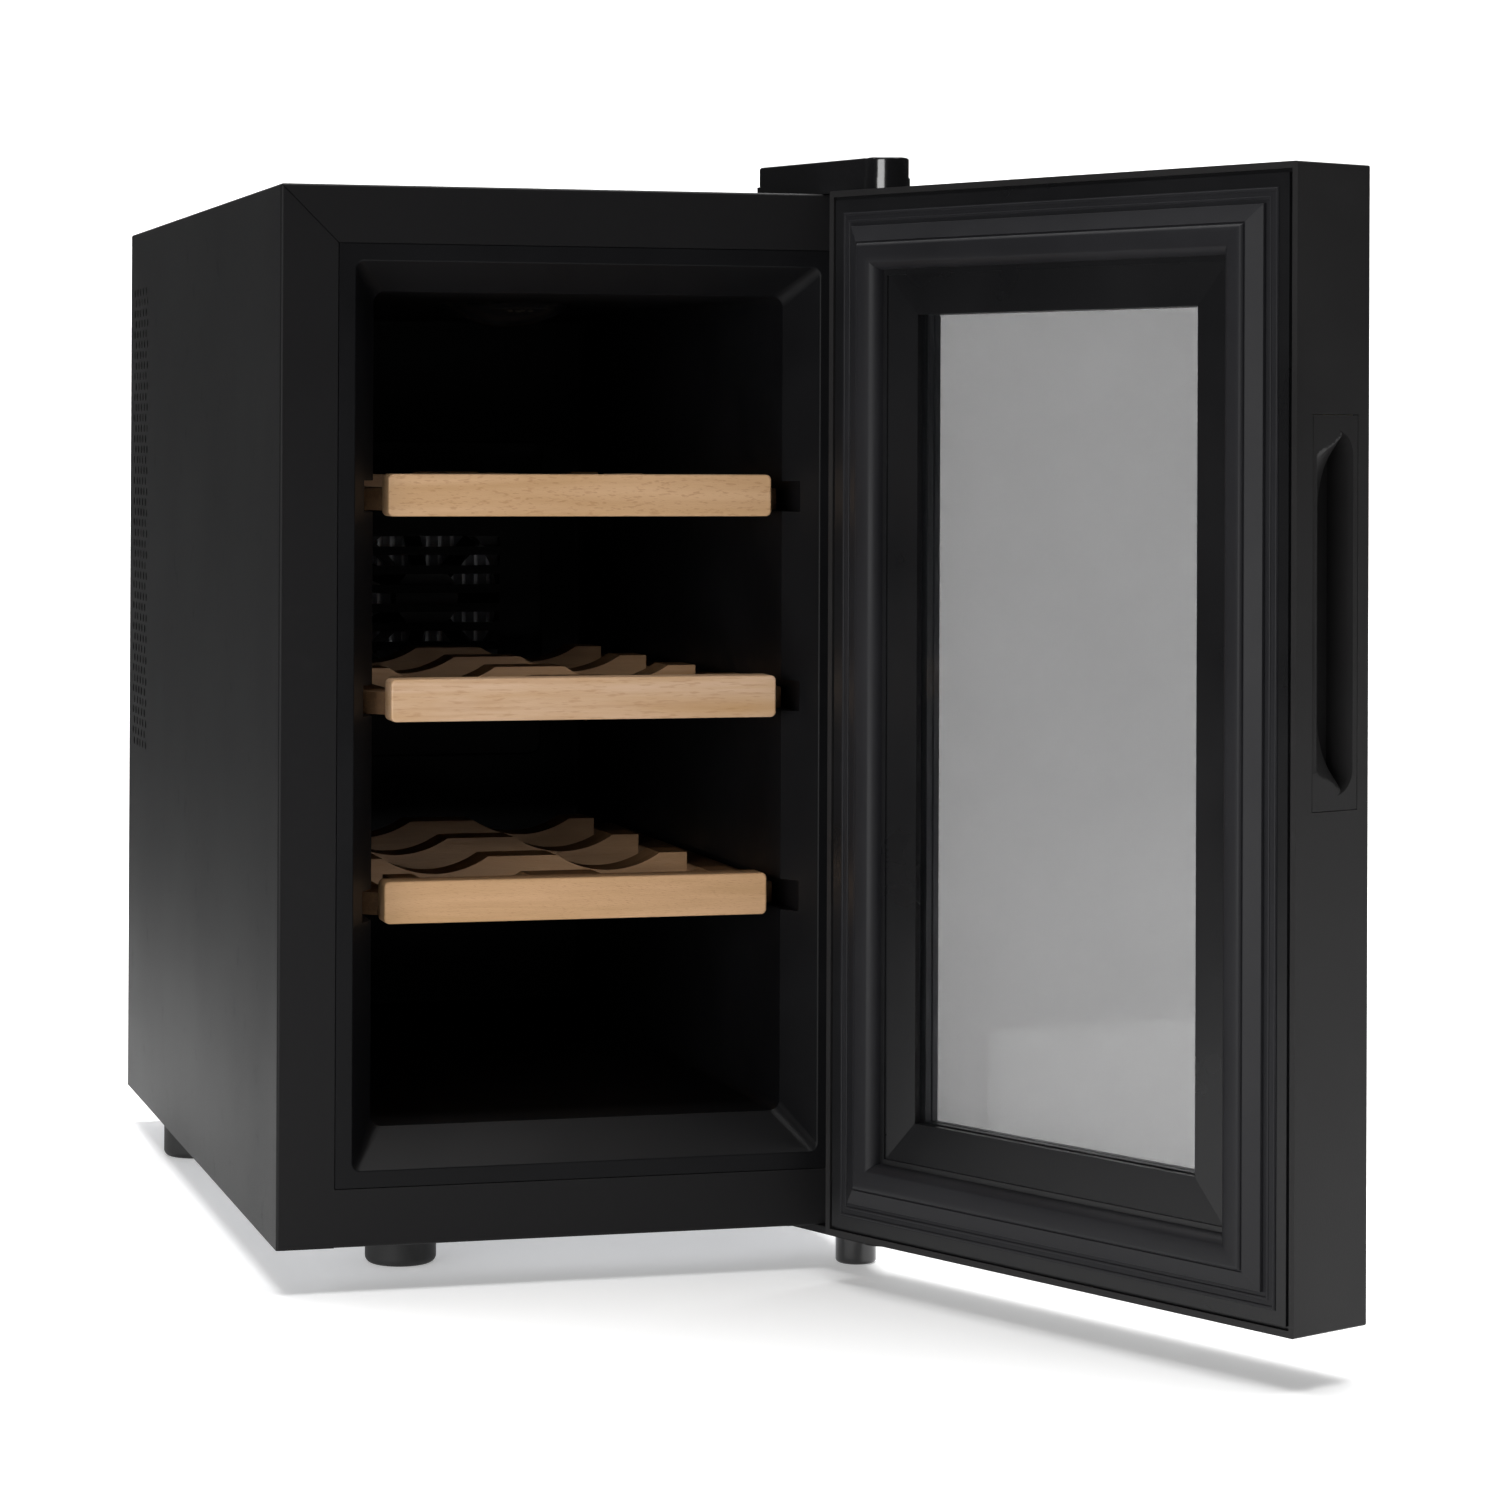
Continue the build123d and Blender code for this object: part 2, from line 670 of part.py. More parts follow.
def swing_open(solid):
    """Turns a door piece from closed to its open rest position."""
    return solid.rotate(Axis((HINGE_X, HINGE_Y, 0), (0, 0, 1)), DOOR_OPEN)


def handle_slot(grow, x0, x1):
    """Upright slot with round ends in the door's free side."""
    plane = Plane(origin=(x0, HANDLE_Y, HANDLE_Z), x_dir=(0, 0, 1), z_dir=(1, 0, 0))
    return extrude(plane * SlotOverall(HANDLE_SLOT_L + 2 * grow, HANDLE_SLOT_W + 2 * grow), x1 - x0)


def handle_panel(gap):
    """Rectangular panel round the handle slot, flush with the door's side, less a gap all round."""
    half_w = HANDLE_PANEL_W / 2 - gap
    half_l = HANDLE_PANEL_L / 2 - gap
    side = -CAB_W / 2
    y0, y1 = HANDLE_Y - half_w, HANDLE_Y + half_w
    return block(side, side + WALL, y0, y1, HANDLE_Z - half_l, HANDLE_Z + half_l)


def handle_cup():
    """Finger recess let into the door's free side."""
    side = -CAB_W / 2
    deep = side + HANDLE_DEPTH
    cup = handle_panel(HANDLE_PANEL_GAP) + handle_slot(HANDLE_WALL, side + WALL, deep + HANDLE_WALL)
    return cup - handle_slot(0, side - 1, deep)


def hinge_boss(radius, upper):
    """Upright boss or hole for a bush, at the top or the bottom of the door."""
    if upper:
        return rod_z(HINGE_X, HINGE_Y, DOOR_Z1 - BUSH_L, DOOR_Z1, radius)
    return rod_z(HINGE_X, HINGE_Y, DOOR_Z0, DOOR_Z0 + BUSH_L, radius)


def door_frame():
    """Moulded door casing: side walls, front web, window wall and the seat of the glazing."""
    casing = door_slab(0, 0, DOOR_T)
    casing = fillet(casing.edges().filter_by(Axis.Y), DOOR_EDGE_R)
    casing = fillet(casing.faces().sort_by(Axis.Y)[0].edges(), DOOR_EDGE_R)
    casing -= door_slab(WALL, 0, DOOR_T)
    casing += door_ring(WALL, FRAME_INNER, GLASS_FACE - WALL, GLASS_FACE)
    casing += door_ring(FRAME_INNER - WALL, FRAME_INNER, SEAT_B, GLASS_FACE - WALL)
    casing += door_ring(FRAME_INNER - WALL, SEAT_MARGIN, SEAT_B, SEAT_B + WALL)
    for upper in (True, False):
        casing += hinge_boss(BOSS_R, upper)
        casing -= hinge_boss(BUSH_R, upper)
    return casing - handle_panel(0)


def door_inner_frame():
    """Inner face of the door, with the gasket channel and the lip that holds the glazing."""
    frame = door_ring(FACE_MARGIN, BEAD_MARGIN, 0, FACE_T)
    frame += door_ring(WALL, FACE_MARGIN, FACE_T - FACE_STEP, FACE_T)
    frame += door_ring(*CHANNEL, FACE_T, CHANNEL_B)
    frame += door_ring(*RIM, FACE_T, SEAT_B)
    frame += door_ring(RIM[1], BEAD_MARGIN, FACE_T, PANE_IN)
    return frame - door_ring(*CHANNEL_SLOT, 0, CHANNEL_B - 1.5)


def glazing_bead():
    """Mitred bead that slopes down from the inner frame to the edge of the glass."""
    bead = door_ring(BEAD_MARGIN, SIGHT_MARGIN, BEAD_RISE, PANE_IN)
    slope = loft([door_outline(BEAD_MARGIN, BEAD_RISE), door_outline(SIGHT_MARGIN, BEAD_FALL)])
    return bead - slope


def door_foam():
    """Insulation inside the door casing."""
    fill = door_ring(WALL, FRAME_INNER - WALL, FACE_T, GLASS_FACE - WALL)
    fill += door_ring(FRAME_INNER - WALL, RIM[0], FACE_T, SEAT_B - 0.2)
    fill -= door_ring(*CHANNEL, 0, CHANNEL_B)
    fill -= handle_slot(HANDLE_WALL, -CAB_W / 2, -CAB_W / 2 + HANDLE_DEPTH + HANDLE_WALL)
    for upper in (True, False):
        fill -= hinge_boss(BOSS_R, upper)
    return fill - touch_board()


def touch_board():
    """Touch and display board behind the door's front web, in the middle of the top rail."""
    y = DOOR_IN - GLASS_FACE + WALL
    return block(-45, 45, y, y + 1.6, DOOR_Z1 - FRAME_INNER + WALL + 0.5, DOOR_Z1 - WALL - 0.5)


def door_gasket():
    """Magnetic gasket: a push-in tongue, a flange and the bulb that seals on the cabinet's face."""
    bulb = door_ring(GASKET_MID, GASKET_IN, -BULB_H, 0)
    bulb = fillet(bulb.faces().sort_by(Axis.Y)[-1].edges(), BULB_R)
    flange = door_ring(GASKET_OUT, GASKET_MID, -FLANGE_H, 0)
    tongue = door_ring(*TONGUE, 0, TONGUE_L)
    return bulb + flange + tongue - magnet_ring(0)


def magnet_ring(clearance):
    """The channel of the magnet strips in the gasket's bulb."""
    wall = MAGNET_WALL + clearance
    return door_ring(GASKET_MID + wall, GASKET_IN - wall, -MAGNET_TO, -MAGNET_FROM)


def gasket_magnets():
    """Four flexible magnet strips in the gasket, one along each side."""
    ring = magnet_ring(0.1)
    width = CAB_W / 2 - GASKET_MID
    ends = block(-width, width, DOOR_IN, DOOR_IN + BULB_H, DOOR_Z0 + GASKET_IN, DOOR_Z1 - GASKET_IN)
    return group((ring & ends).solids() + (ring - ends).solids())


def pane(b0, thickness, margin):
    """A sheet of glass."""
    return door_slab(margin, b0, b0 + thickness)


def glazing_spacer():
    """Metal spacer between the two inner panes, with a groove along its inner side."""
    b0 = PANE_IN + PANE_T
    slot_b = b0 + (SPACER_T - SPACER_SLOT) / 2
    bar = door_ring(SPACER_MARGIN, SIGHT_MARGIN, b0, b0 + SPACER_T)
    return bar - door_ring(SIGHT_MARGIN - SPACER_SLOT, SIGHT_MARGIN, slot_b, slot_b + SPACER_SLOT)


def door_bushes():
    """Nylon bushes that turn on the hinge pins, one at each end of the door."""
    bushes = []
    for upper in (True, False):
        bore = hinge_boss(PIN_R + PIN_FIT, upper)
        bushes.append(hinge_boss(BUSH_R, upper) - bore)
    return group(bushes)


# ---------------------------------------------------------------- shelves


def shelf_board(y, z):
    """Beech front board with rounded corners and eased edges."""
    board = block(-SHELF_W / 2, SHELF_W / 2, y, y + BOARD_T, z, z + SHELF_H)
    board = fillet(board.edges().filter_by(Axis.Y), BOARD_END_R)
    faces = board.faces().sort_by(Axis.Y)
    return fillet(faces[0].edges() + faces[-1].edges(), BOARD_EDGE_R)


def shelf_rails(y, z):
    """The two side rails that run in the liner's grooves, each with its outer front corner cut off."""
    low = z + RAIL_LIFT
    start = y + BOARD_T
    rail = block(RAIL_X - RAIL_W, RAIL_X, start, start + RAIL_L, low, low + RAIL_H)
    corner = rail.edges().filter_by(Axis.Z).group_by(Axis.Y)[0].sort_by(Axis.X)[-1]
    rail = fillet(chamfer(corner, RAIL_NOSE).edges().filter_by(Axis.Y), RAIL_EDGE_R)
    return group([rail, mirror(rail, about=Plane.YZ)])


def shelf_slats(y, z):
    """Cross slats, hollowed where the bottles lie."""
    inner = RAIL_X - RAIL_W
    start = y + BOARD_T + SLAT_SETBACK
    pitch = (RAIL_L - 2 * SLAT_SETBACK - SLAT_D) / (SLAT_COUNT - 1)
    slats = []
    for index in range(SLAT_COUNT):
        y0 = start + index * pitch
        slat = block(-inner, inner, y0, y0 + SLAT_D, z + RAIL_LIFT, z + SHELF_H - SLAT_DROP)
        for side in (-1, 1):
            slat -= rod_y(side * BOTTLE_X, y0 - 1, y0 + SLAT_D + 1, z + BOTTLE_LOW + BOTTLE_R, BOTTLE_R)
        slats.append(slat)
    return group(slats)


# ---------------------------------------------------------------- assembly

nodes = {
    "outer_shell": outer_shell() - UPPER_SCREWS,
    "front_rail": front_rail(),
    "base_pan": base_pan() - LOWER_SCREWS,
    "inner_liner": inner_liner(),
    "cabinet_foam": cabinet_foam() - UPPER_SCREWS - LOWER_SCREWS,
    "back_panel": back_panel() - PANEL_SCREWS,
    "back_panel_screws": group(PANEL_SCREWS),
    "rear_fan_guard": rear_fan_guard(),
    "rear_spacers": rear_spacers(),
    "front_left_foot": foot(*FRONT_FOOT),
    "rear_left_foot": foot(-SIDE_FOOT_X, REAR_FOOT_Y),
    "rear_right_foot": foot(SIDE_FOOT_X, REAR_FOOT_Y),
    "levelling_leg": levelling_leg(),
    "inner_fan_cover": inner_fan_cover(),
    "cold_sink": finned_sink(COLD_SINK, CAVITY_BACK, -1),
    "cold_block": cold_block(),
    "thermoelectric_module": thermoelectric_module(),
    "hot_sink": finned_sink(HOT_SINK, HOT_SIDE, 1),
    "inner_fan_frame": fan_frame(INNER_FAN, INNER_FAN_D, INNER_FAN_Y),
    "inner_fan_rotor": fan_rotor(INNER_FAN, INNER_FAN_D, INNER_FAN_Y),
    "outer_fan_frame": fan_frame(OUTER_FAN, OUTER_FAN_D, OUTER_FAN_Y),
    "outer_fan_rotor": fan_rotor(OUTER_FAN, OUTER_FAN_D, OUTER_FAN_Y),
    "temperature_sensor": temperature_sensor(),
    "power_board": power_board(),
    "power_inlet": power_inlet(),
    "inlet_pins": inlet_pins(),
    "lamp_lens": lamp_lens(),
    "lamp_board": lamp_board(),
    "hinge_cover": hinge_cover(),
    "upper_hinge_plate": upper_hinge_plate(),
    "upper_hinge_pin": upper_hinge_pin(),
    "upper_hinge_screws": group(UPPER_SCREWS),
    "lower_hinge_bracket": lower_hinge_bracket(),
    "lower_hinge_pin": lower_hinge_pin(),
    "lower_hinge_screws": group(LOWER_SCREWS),
    "hinge_washer": hinge_washer(),
}
door_nodes = {
    "door_frame": door_frame(),
    "door_inner_frame": door_inner_frame(),
    "glazing_bead": glazing_bead(),
    "door_foam": door_foam(),
    "touch_board": touch_board(),
    "door_gasket": door_gasket(),
    "gasket_magnets": gasket_magnets(),
    "inner_pane": pane(PANE_IN, PANE_T, PANE_MARGIN),
    "middle_pane": pane(PANE_IN + PANE_T + SPACER_T, PANE_T, PANE_MARGIN),
    "glazing_spacer": glazing_spacer(),
    "front_glass": pane(GLASS_FACE, GLASS_T, WALL),
    "handle_cup": handle_cup(),
    "door_bushes": door_bushes(),
}
nodes.update({name: swing_open(solid) for name, solid in door_nodes.items()})
for level, (name, setback) in enumerate(SHELF_SETBACK.items()):
    front = FRONT + setback
    height = SHELF_Z + level * SHELF_PITCH
    nodes[f"{name}_shelf_board"] = shelf_board(front, height)
    nodes[f"{name}_shelf_rails"] = shelf_rails(front, height)
    nodes[f"{name}_shelf_slats"] = shelf_slats(front, height)

os.makedirs("parts", exist_ok=True)
for name, solid in nodes.items():
    export_step(solid, f"parts/{name}.step")
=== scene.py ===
import json
import math

import bmesh
import bpy
from mathutils import Matrix, Vector


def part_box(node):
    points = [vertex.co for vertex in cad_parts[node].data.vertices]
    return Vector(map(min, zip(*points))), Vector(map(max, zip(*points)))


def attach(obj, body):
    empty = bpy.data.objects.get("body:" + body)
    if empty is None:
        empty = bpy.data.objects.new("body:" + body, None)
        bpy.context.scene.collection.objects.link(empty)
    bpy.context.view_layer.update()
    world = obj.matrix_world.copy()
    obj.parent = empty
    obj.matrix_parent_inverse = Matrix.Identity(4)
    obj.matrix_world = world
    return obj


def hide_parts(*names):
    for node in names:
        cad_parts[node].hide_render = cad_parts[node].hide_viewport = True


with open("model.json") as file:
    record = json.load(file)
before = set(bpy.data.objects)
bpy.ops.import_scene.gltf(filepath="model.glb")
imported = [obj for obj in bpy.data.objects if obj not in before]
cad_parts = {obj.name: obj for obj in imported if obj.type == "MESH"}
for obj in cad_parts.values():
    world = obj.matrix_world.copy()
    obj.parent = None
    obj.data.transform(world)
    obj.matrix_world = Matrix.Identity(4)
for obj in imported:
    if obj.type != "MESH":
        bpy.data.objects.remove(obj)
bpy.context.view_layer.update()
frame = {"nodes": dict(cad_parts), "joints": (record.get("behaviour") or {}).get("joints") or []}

# A small free-standing wine cooler with its glazed door open: a folded steel casing, a moulded
# liner, three beech shelves, a thermoelectric cooling unit and two fans. Everything is in metres.

MM = 0.001
scene = bpy.context.scene


# ---------------------------------------------------------------- camera
# A long lens in front of the cooler, a little to its left and at the height of its upper shelf.
# The lens is shifted, so that upright edges stay upright.

CAMERA_SPOT = Vector((-0.40093, -1.84699, 0.33642))
CAMERA_LENS = 100.14
CAMERA_YAW = math.radians(-15.579)
CAMERA_PITCH = math.radians(-0.306)
CAMERA_ROLL = math.radians(0.2423)
CAMERA_SHIFT = (0.0216, -0.2197)

camera_data = bpy.data.cameras.new("camera")
camera_data.lens = CAMERA_LENS
camera_data.sensor_width = 36
camera_data.shift_x, camera_data.shift_y = CAMERA_SHIFT
camera = bpy.data.objects.new("camera", camera_data)
scene.collection.objects.link(camera)
scene.camera = camera

ahead = Vector((
    -math.sin(CAMERA_YAW) * math.cos(CAMERA_PITCH),
    math.cos(CAMERA_YAW) * math.cos(CAMERA_PITCH),
    -math.sin(CAMERA_PITCH),
))
level = Vector((math.cos(CAMERA_YAW), math.sin(CAMERA_YAW), 0))
upward = level.cross(ahead)
across = level * math.cos(CAMERA_ROLL) + upward * math.sin(CAMERA_ROLL)
rise = upward * math.cos(CAMERA_ROLL) - level * math.sin(CAMERA_ROLL)
camera.matrix_world = Matrix.Translation(CAMERA_SPOT) @ Matrix((across, rise, -ahead)).transposed().to_4x4()


# ---------------------------------------------------------------- studio
# A white paper sweep that curves up behind the cooler. A low soft box in front on the left is the main
# light; a wide one overhead and one for the paper keep the sweep white. The room itself stays dim.

SWEEP_LEFT = -1.2
SWEEP_LEFT_BACK = -0.30
SWEEP_RIGHT = 3.0
SWEEP_FRONT = -1.1
SWEEP_NARROWS = (-0.5, 0.2)
SWEEP_BACK = 2.4
SWEEP_CURVE = 0.7
SWEEP_HEIGHT = 3.6
SWEEP_STEPS = 16
PAPER_WHITE = (0.93, 0.93, 0.93, 1)
PAPER_GLOW = 0.32
ROOM_GREY = 0.04


class Line:
    """A socket that carries a number, a colour or a direction. Sums and products add Math nodes."""

    def __init__(self, tree, socket):
        self.tree = tree
        self.socket = socket

    def node(self, kind, settings, inputs, output=0):
        """Adds a node: its settings first, then the values or lines of its inputs."""
        made = self.tree.nodes.new(kind)
        for name, value in settings.items():
            setattr(made, name, value)
        for name, value in inputs.items():
            if isinstance(value, Line):
                self.tree.links.new(value.socket, made.inputs[name])
            else:
                made.inputs[name].default_value = value
        return Line(self.tree, made.outputs[output])

    def math(self, operation, first, second=0.0):
        return self.node("ShaderNodeMath", {"operation": operation}, {0: first, 1: second})

    def __add__(self, other):
        return self.math("ADD", self, other)

    def __sub__(self, other):
        return self.math("SUBTRACT", self, other)

    def __mul__(self, other):
        return self.math("MULTIPLY", self, other)

    def __gt__(self, other):
        return self.math("GREATER_THAN", self, other)

    def __abs__(self):
        return self.math("ABSOLUTE", self)


def bare_finish(name, **fixed):
    """A new material, with its fixed numbers and colours set on its shader, and its coordinates."""
    material = bpy.data.materials.new(name)
    material.use_nodes = True
    tree = material.node_tree
    for socket, value in fixed.items():
        tree.nodes["Principled BSDF"].inputs[socket.replace("_", " ")].default_value = value
    coordinates = tree.nodes.new("ShaderNodeTexCoord")
    return material, Line(tree, coordinates.outputs["Object"])


def wire(material, **lines):
    """Joins what varies over the surface to the material's shader."""
    tree = material.node_tree
    for socket, line in lines.items():
        tree.links.new(line.socket, tree.nodes["Principled BSDF"].inputs[socket.replace("_", " ")])


def stretch(place, scale, turn=(0, 0, 0), shift=(0, 0, 0)):
    """Coordinates turned, stretched and shifted by fixed amounts."""
    inputs = {"Vector": place, "Location": shift, "Rotation": turn, "Scale": scale}
    return place.node("ShaderNodeMapping", {}, inputs)


def noise(place, scale, detail=3.0, roughness=0.55, distortion=0.0):
    """Cloudy noise from 0 to 1 whose patches are about 1/scale metres across."""
    inputs = {"Vector": place, "Scale": scale, "Detail": detail}
    inputs |= {"Roughness": roughness, "Distortion": distortion}
    return place.node("ShaderNodeTexNoise", {}, inputs)


def between(value, low, high, out_low=0.0, out_high=1.0):
    """The value carried from one range to another and held inside it."""
    inputs = {"Value": value, 1: low, 2: high, 3: out_low, 4: out_high}
    return value.node("ShaderNodeMapRange", {}, inputs)


def blend_colours(first, second, share):
    """A mix of two colours."""
    inputs = {0: share, 6: first, 7: second}
    return share.node("ShaderNodeMix", {"data_type": "RGBA"}, inputs, output=2)


def bumps(height, depth, under=None):
    """A surface direction from a height between 0 and 1, depth metres deep, on top of another one."""
    inputs = {"Height": height, "Distance": depth, "Strength": 1.0}
    if under:
        inputs["Normal"] = under
    return height.node("ShaderNodeBump", {}, inputs)


def wear_finish(nodes, material):
    """Gives CAD pieces, by name, a material."""
    for name in nodes:
        for holder in frame["nodes"][name].material_slots:
            holder.material = material


def sheet_of(name, rows):
    """A surface through rows of points, as a mesh object."""
    mesh = bpy.data.meshes.new(name)
    width = len(rows[0])
    faces = [
        (r * width + c, r * width + c + 1, (r + 1) * width + c + 1, (r + 1) * width + c)
        for r in range(len(rows) - 1)
        for c in range(width - 1)
    ]
    mesh.from_pydata([point for row in rows for point in row], [], faces)
    mesh.polygons.foreach_set("use_smooth", [True] * len(faces))
    made = bpy.data.objects.new(name, mesh)
    scene.collection.objects.link(made)
    return made


sweep_line = [(SWEEP_FRONT, 0.0), (SWEEP_NARROWS[0], 0.0), (SWEEP_NARROWS[1], 0.0)]
for step in range(SWEEP_STEPS + 1):
    turn = math.pi / 2 * step / SWEEP_STEPS
    sweep_line.append((
        SWEEP_BACK - SWEEP_CURVE + SWEEP_CURVE * math.sin(turn),
        SWEEP_CURVE - SWEEP_CURVE * math.cos(turn),
    ))
sweep_line.append((SWEEP_BACK, SWEEP_HEIGHT))
sweep_rows = []
for y, z in sweep_line:
    left = SWEEP_LEFT if y <= SWEEP_NARROWS[0] else SWEEP_LEFT_BACK
    sweep_rows.append([(left, y, z), (SWEEP_RIGHT, y, z)])
sweep = sheet_of("paper_sweep", sweep_rows)
paper, place = bare_finish(
    "paper", Roughness=0.9, Emission_Color=(1, 1, 1, 1), Emission_Strength=PAPER_GLOW, Specular_IOR_Level=0.1
)
wire(paper, Base_Color=blend_colours(PAPER_WHITE, (0.90, 0.90, 0.90, 1), noise(place, 6)))
sweep.data.materials.append(paper)


def softbox(name, spot, target, size, power):
    """A rectangular soft light that faces a point."""
    data = bpy.data.lights.new(name, "AREA")
    data.shape = "RECTANGLE"
    data.size, data.size_y = size
    data.energy = power
    lamp = bpy.data.objects.new(name, data)
    scene.collection.objects.link(lamp)
    lamp.location = spot
    lamp.rotation_euler = (Vector(target) - Vector(spot)).to_track_quat("-Z", "Y").to_euler()


softbox("key_box", (-2.3, -2.4, 0.30), (0, -0.2, 0.25), (2.0, 1.2), 60)
softbox("overhead_box", (0.3, 0.0, 2.6), (0.3, 0.0, 0), (2.4, 2.2), 104)
softbox("paper_box", (0.0, 0.9, 2.9), (0, 2.3, 1.0), (4.0, 0.8), 60)

world = bpy.data.worlds.new("room")
world.use_nodes = True
world.node_tree.nodes["Background"].inputs["Color"].default_value = (ROOM_GREY, ROOM_GREY, ROOM_GREY, 1)
scene.world = world
scene.view_settings.view_transform = "Standard"


# ---------------------------------------------------------------- steel casing
# The wrap is one sheet of steel folded round the sides, top and front stiles, and sprayed satin
# black. The front rail, the back panel and the base pan are separate sheets; the pan is left bare.

STEEL_BLACK = (0.0070, 0.0068, 0.0072, 1)
STEEL_BLACK_WORN = (0.0115, 0.0111, 0.0118, 1)
ZINC_LIGHT = (0.60, 0.61, 0.63, 1)
ZINC_DARK = (0.42, 0.43, 0.46, 1)


def sprayed_steel(name, roughness):
    """Satin paint on steel: fine orange peel, faint cloudiness and a few dull handling marks."""
    material, place = bare_finish(name, IOR=1.48, Specular_IOR_Level=0.16)
    peel = noise(place, 1500, detail=2, roughness=0.5)
    cloud = noise(place, 9, detail=3)
    rubbed = between(noise(place, 55, detail=6, roughness=0.7), 0.60, 0.80)
    wire(
        material,
        Base_Color=blend_colours(STEEL_BLACK, STEEL_BLACK_WORN, rubbed * 0.5 + cloud * 0.25),
        Roughness=cloud * 0.10 + rubbed * 0.08 + (roughness - 0.05),
        Normal=bumps(peel, 0.00006),
    )
    return material


def rolled_metal(name, light, dark, roughness, stretch_scale, depth=0.00003):
    """Bare metal with the fine lines of rolling or drawing, stretched along one direction."""
    material, place = bare_finish(name, Metallic=1.0)
    lines = noise(stretch(place, stretch_scale), 1.0, detail=4, roughness=0.65)
    stain = noise(place, 22, detail=4)
    wire(
        material,
        Base_Color=blend_colours(dark, light, between(lines * 0.6 + stain * 0.4, 0.35, 0.65)),
        Roughness=between(lines, 0.3, 0.7, roughness - 0.08, roughness + 0.08),
        Normal=bumps(lines, depth),
    )
    return material


black_steel = sprayed_steel("satin_black_steel", 0.50)
galvanised = rolled_metal("galvanised_steel", ZINC_LIGHT, ZINC_DARK, 0.42, (60, 900, 900))
wear_finish(["outer_shell", "front_rail", "back_panel"], black_steel)
wear_finish(["base_pan"], galvanised)


# ---------------------------------------------------------------- liner and foam
# The liner is one moulded tub of dark satin plastic, with a bevelled mouth and a groove for each
# shelf rail. Yellow foam is poured between it and the steel.

LINER_BLACK = (0.0034, 0.0034, 0.0039, 1)
LINER_GREY = (0.0052, 0.0052, 0.0060, 1)
FOAM_PALE = (0.86, 0.79, 0.56, 1)
FOAM_DEEP = (0.72, 0.62, 0.38, 1)


def moulded(name, colour, second, roughness, grain=0.0005, depth=0.00003, coat=0.0, specular=0.5):
    """Moulded plastic or rubber: a fine tool texture, with slow changes of tone and gloss."""
    material, place = bare_finish(
        name, Coat_Weight=coat, Coat_Roughness=0.06, Specular_IOR_Level=specular
    )
    texture = noise(place, 1 / grain, detail=2)
    cloud = noise(place, 16, detail=4, roughness=0.6)
    specks = between(noise(place, 420, detail=2), 0.66, 0.78)
    wire(
        material,
        Base_Color=blend_colours(colour, second, between(cloud, 0.35, 0.7) * 0.7 + specks * 0.3),
        Roughness=between(cloud, 0.3, 0.7, roughness - 0.05, roughness + 0.06),
        Normal=bumps(texture, depth),
    )
    return material


liner_plastic = moulded("liner_plastic", LINER_BLACK, LINER_GREY, 0.46, grain=0.0007, specular=0.14)
wear_finish(["inner_liner", "inner_fan_cover"], liner_plastic)

poured_foam, place = bare_finish("poured_foam", Roughness=0.95, Specular_IOR_Level=0.15)
cells = place.node("ShaderNodeTexVoronoi", {"feature": "F1"}, {"Vector": place, "Scale": 700})
wire(
    poured_foam,
    Base_Color=blend_colours(FOAM_PALE, FOAM_DEEP, between(noise(place, 30, detail=5), 0.3, 0.7)),
    Normal=bumps(cells, 0.0004),
)
wear_finish(["cabinet_foam", "door_foam"], poured_foam)


# ---------------------------------------------------------------- cavity lamp
# A round board with small light-emitting diodes, under a shallow domed lens of frosted, smoke-grey
# plastic. The diodes are yellow-topped beads soldered in a ring.

DIODE_RING_R = 4.5 * MM
DIODE_R = 1.3 * MM
DIODE_H = 0.7 * MM
DIODE_COUNT = 4
DIODE_YELLOW = (0.88, 0.74, 0.30, 1)
DIODE_PALE = (0.95, 0.92, 0.80, 1)
LENS_SMOKE = (0.012, 0.012, 0.013, 1)
LENS_GREY = (0.020, 0.020, 0.022, 1)
BOARD_GREY = (0.040, 0.040, 0.042, 1)
BOARD_DARK = (0.022, 0.022, 0.024, 1)
CERAMIC_WHITE = (0.86, 0.86, 0.84, 1)
CERAMIC_CREAM = (0.76, 0.76, 0.72, 1)


def size_input(tree, name, value):
    """A named size on a geometry tree; returns its identifier."""
    kind = "NodeSocketInt" if isinstance(value, int) else "NodeSocketFloat"
    socket = tree.interface.new_socket(name, in_out="INPUT", socket_type=kind)
    socket.default_value = value
    return socket.identifier


def geometry_tree(name, sizes):
    """An empty geometry tree with named sizes, its input node and the sizes' identifiers."""
    tree = bpy.data.node_groups.new(name, "GeometryNodeTree")
    tree.interface.new_socket("Geometry", in_out="INPUT", socket_type="NodeSocketGeometry")
    identifiers = {size: size_input(tree, size, value) for size, value in sizes.items()}
    tree.interface.new_socket("Geometry", in_out="OUTPUT", socket_type="NodeSocketGeometry")
    return tree, tree.nodes.new("NodeGroupInput"), identifiers


def geometry_node(tree, kind, settings, inputs):
    """Adds a geometry node: its settings first, then the values or sockets of its inputs."""
    made = tree.nodes.new(kind)
    for name, value in settings.items():
        setattr(made, name, value)
    for name, value in inputs.items():
        if isinstance(value, bpy.types.NodeSocket):
            tree.links.new(value, made.inputs[name])
        else:
            made.inputs[name].default_value = value
    return made


def end_tree(tree, geometry, material):
    """Ends a geometry tree with real geometry in one material."""
    real = geometry_node(tree, "GeometryNodeRealizeInstances", {}, {"Geometry": geometry})
    inputs = {"Geometry": real.outputs[0], "Material": material}
    painted = geometry_node(tree, "GeometryNodeSetMaterial", {}, inputs)
    out = tree.nodes.new("NodeGroupOutput")
    tree.links.new(painted.outputs[0], out.inputs[0])


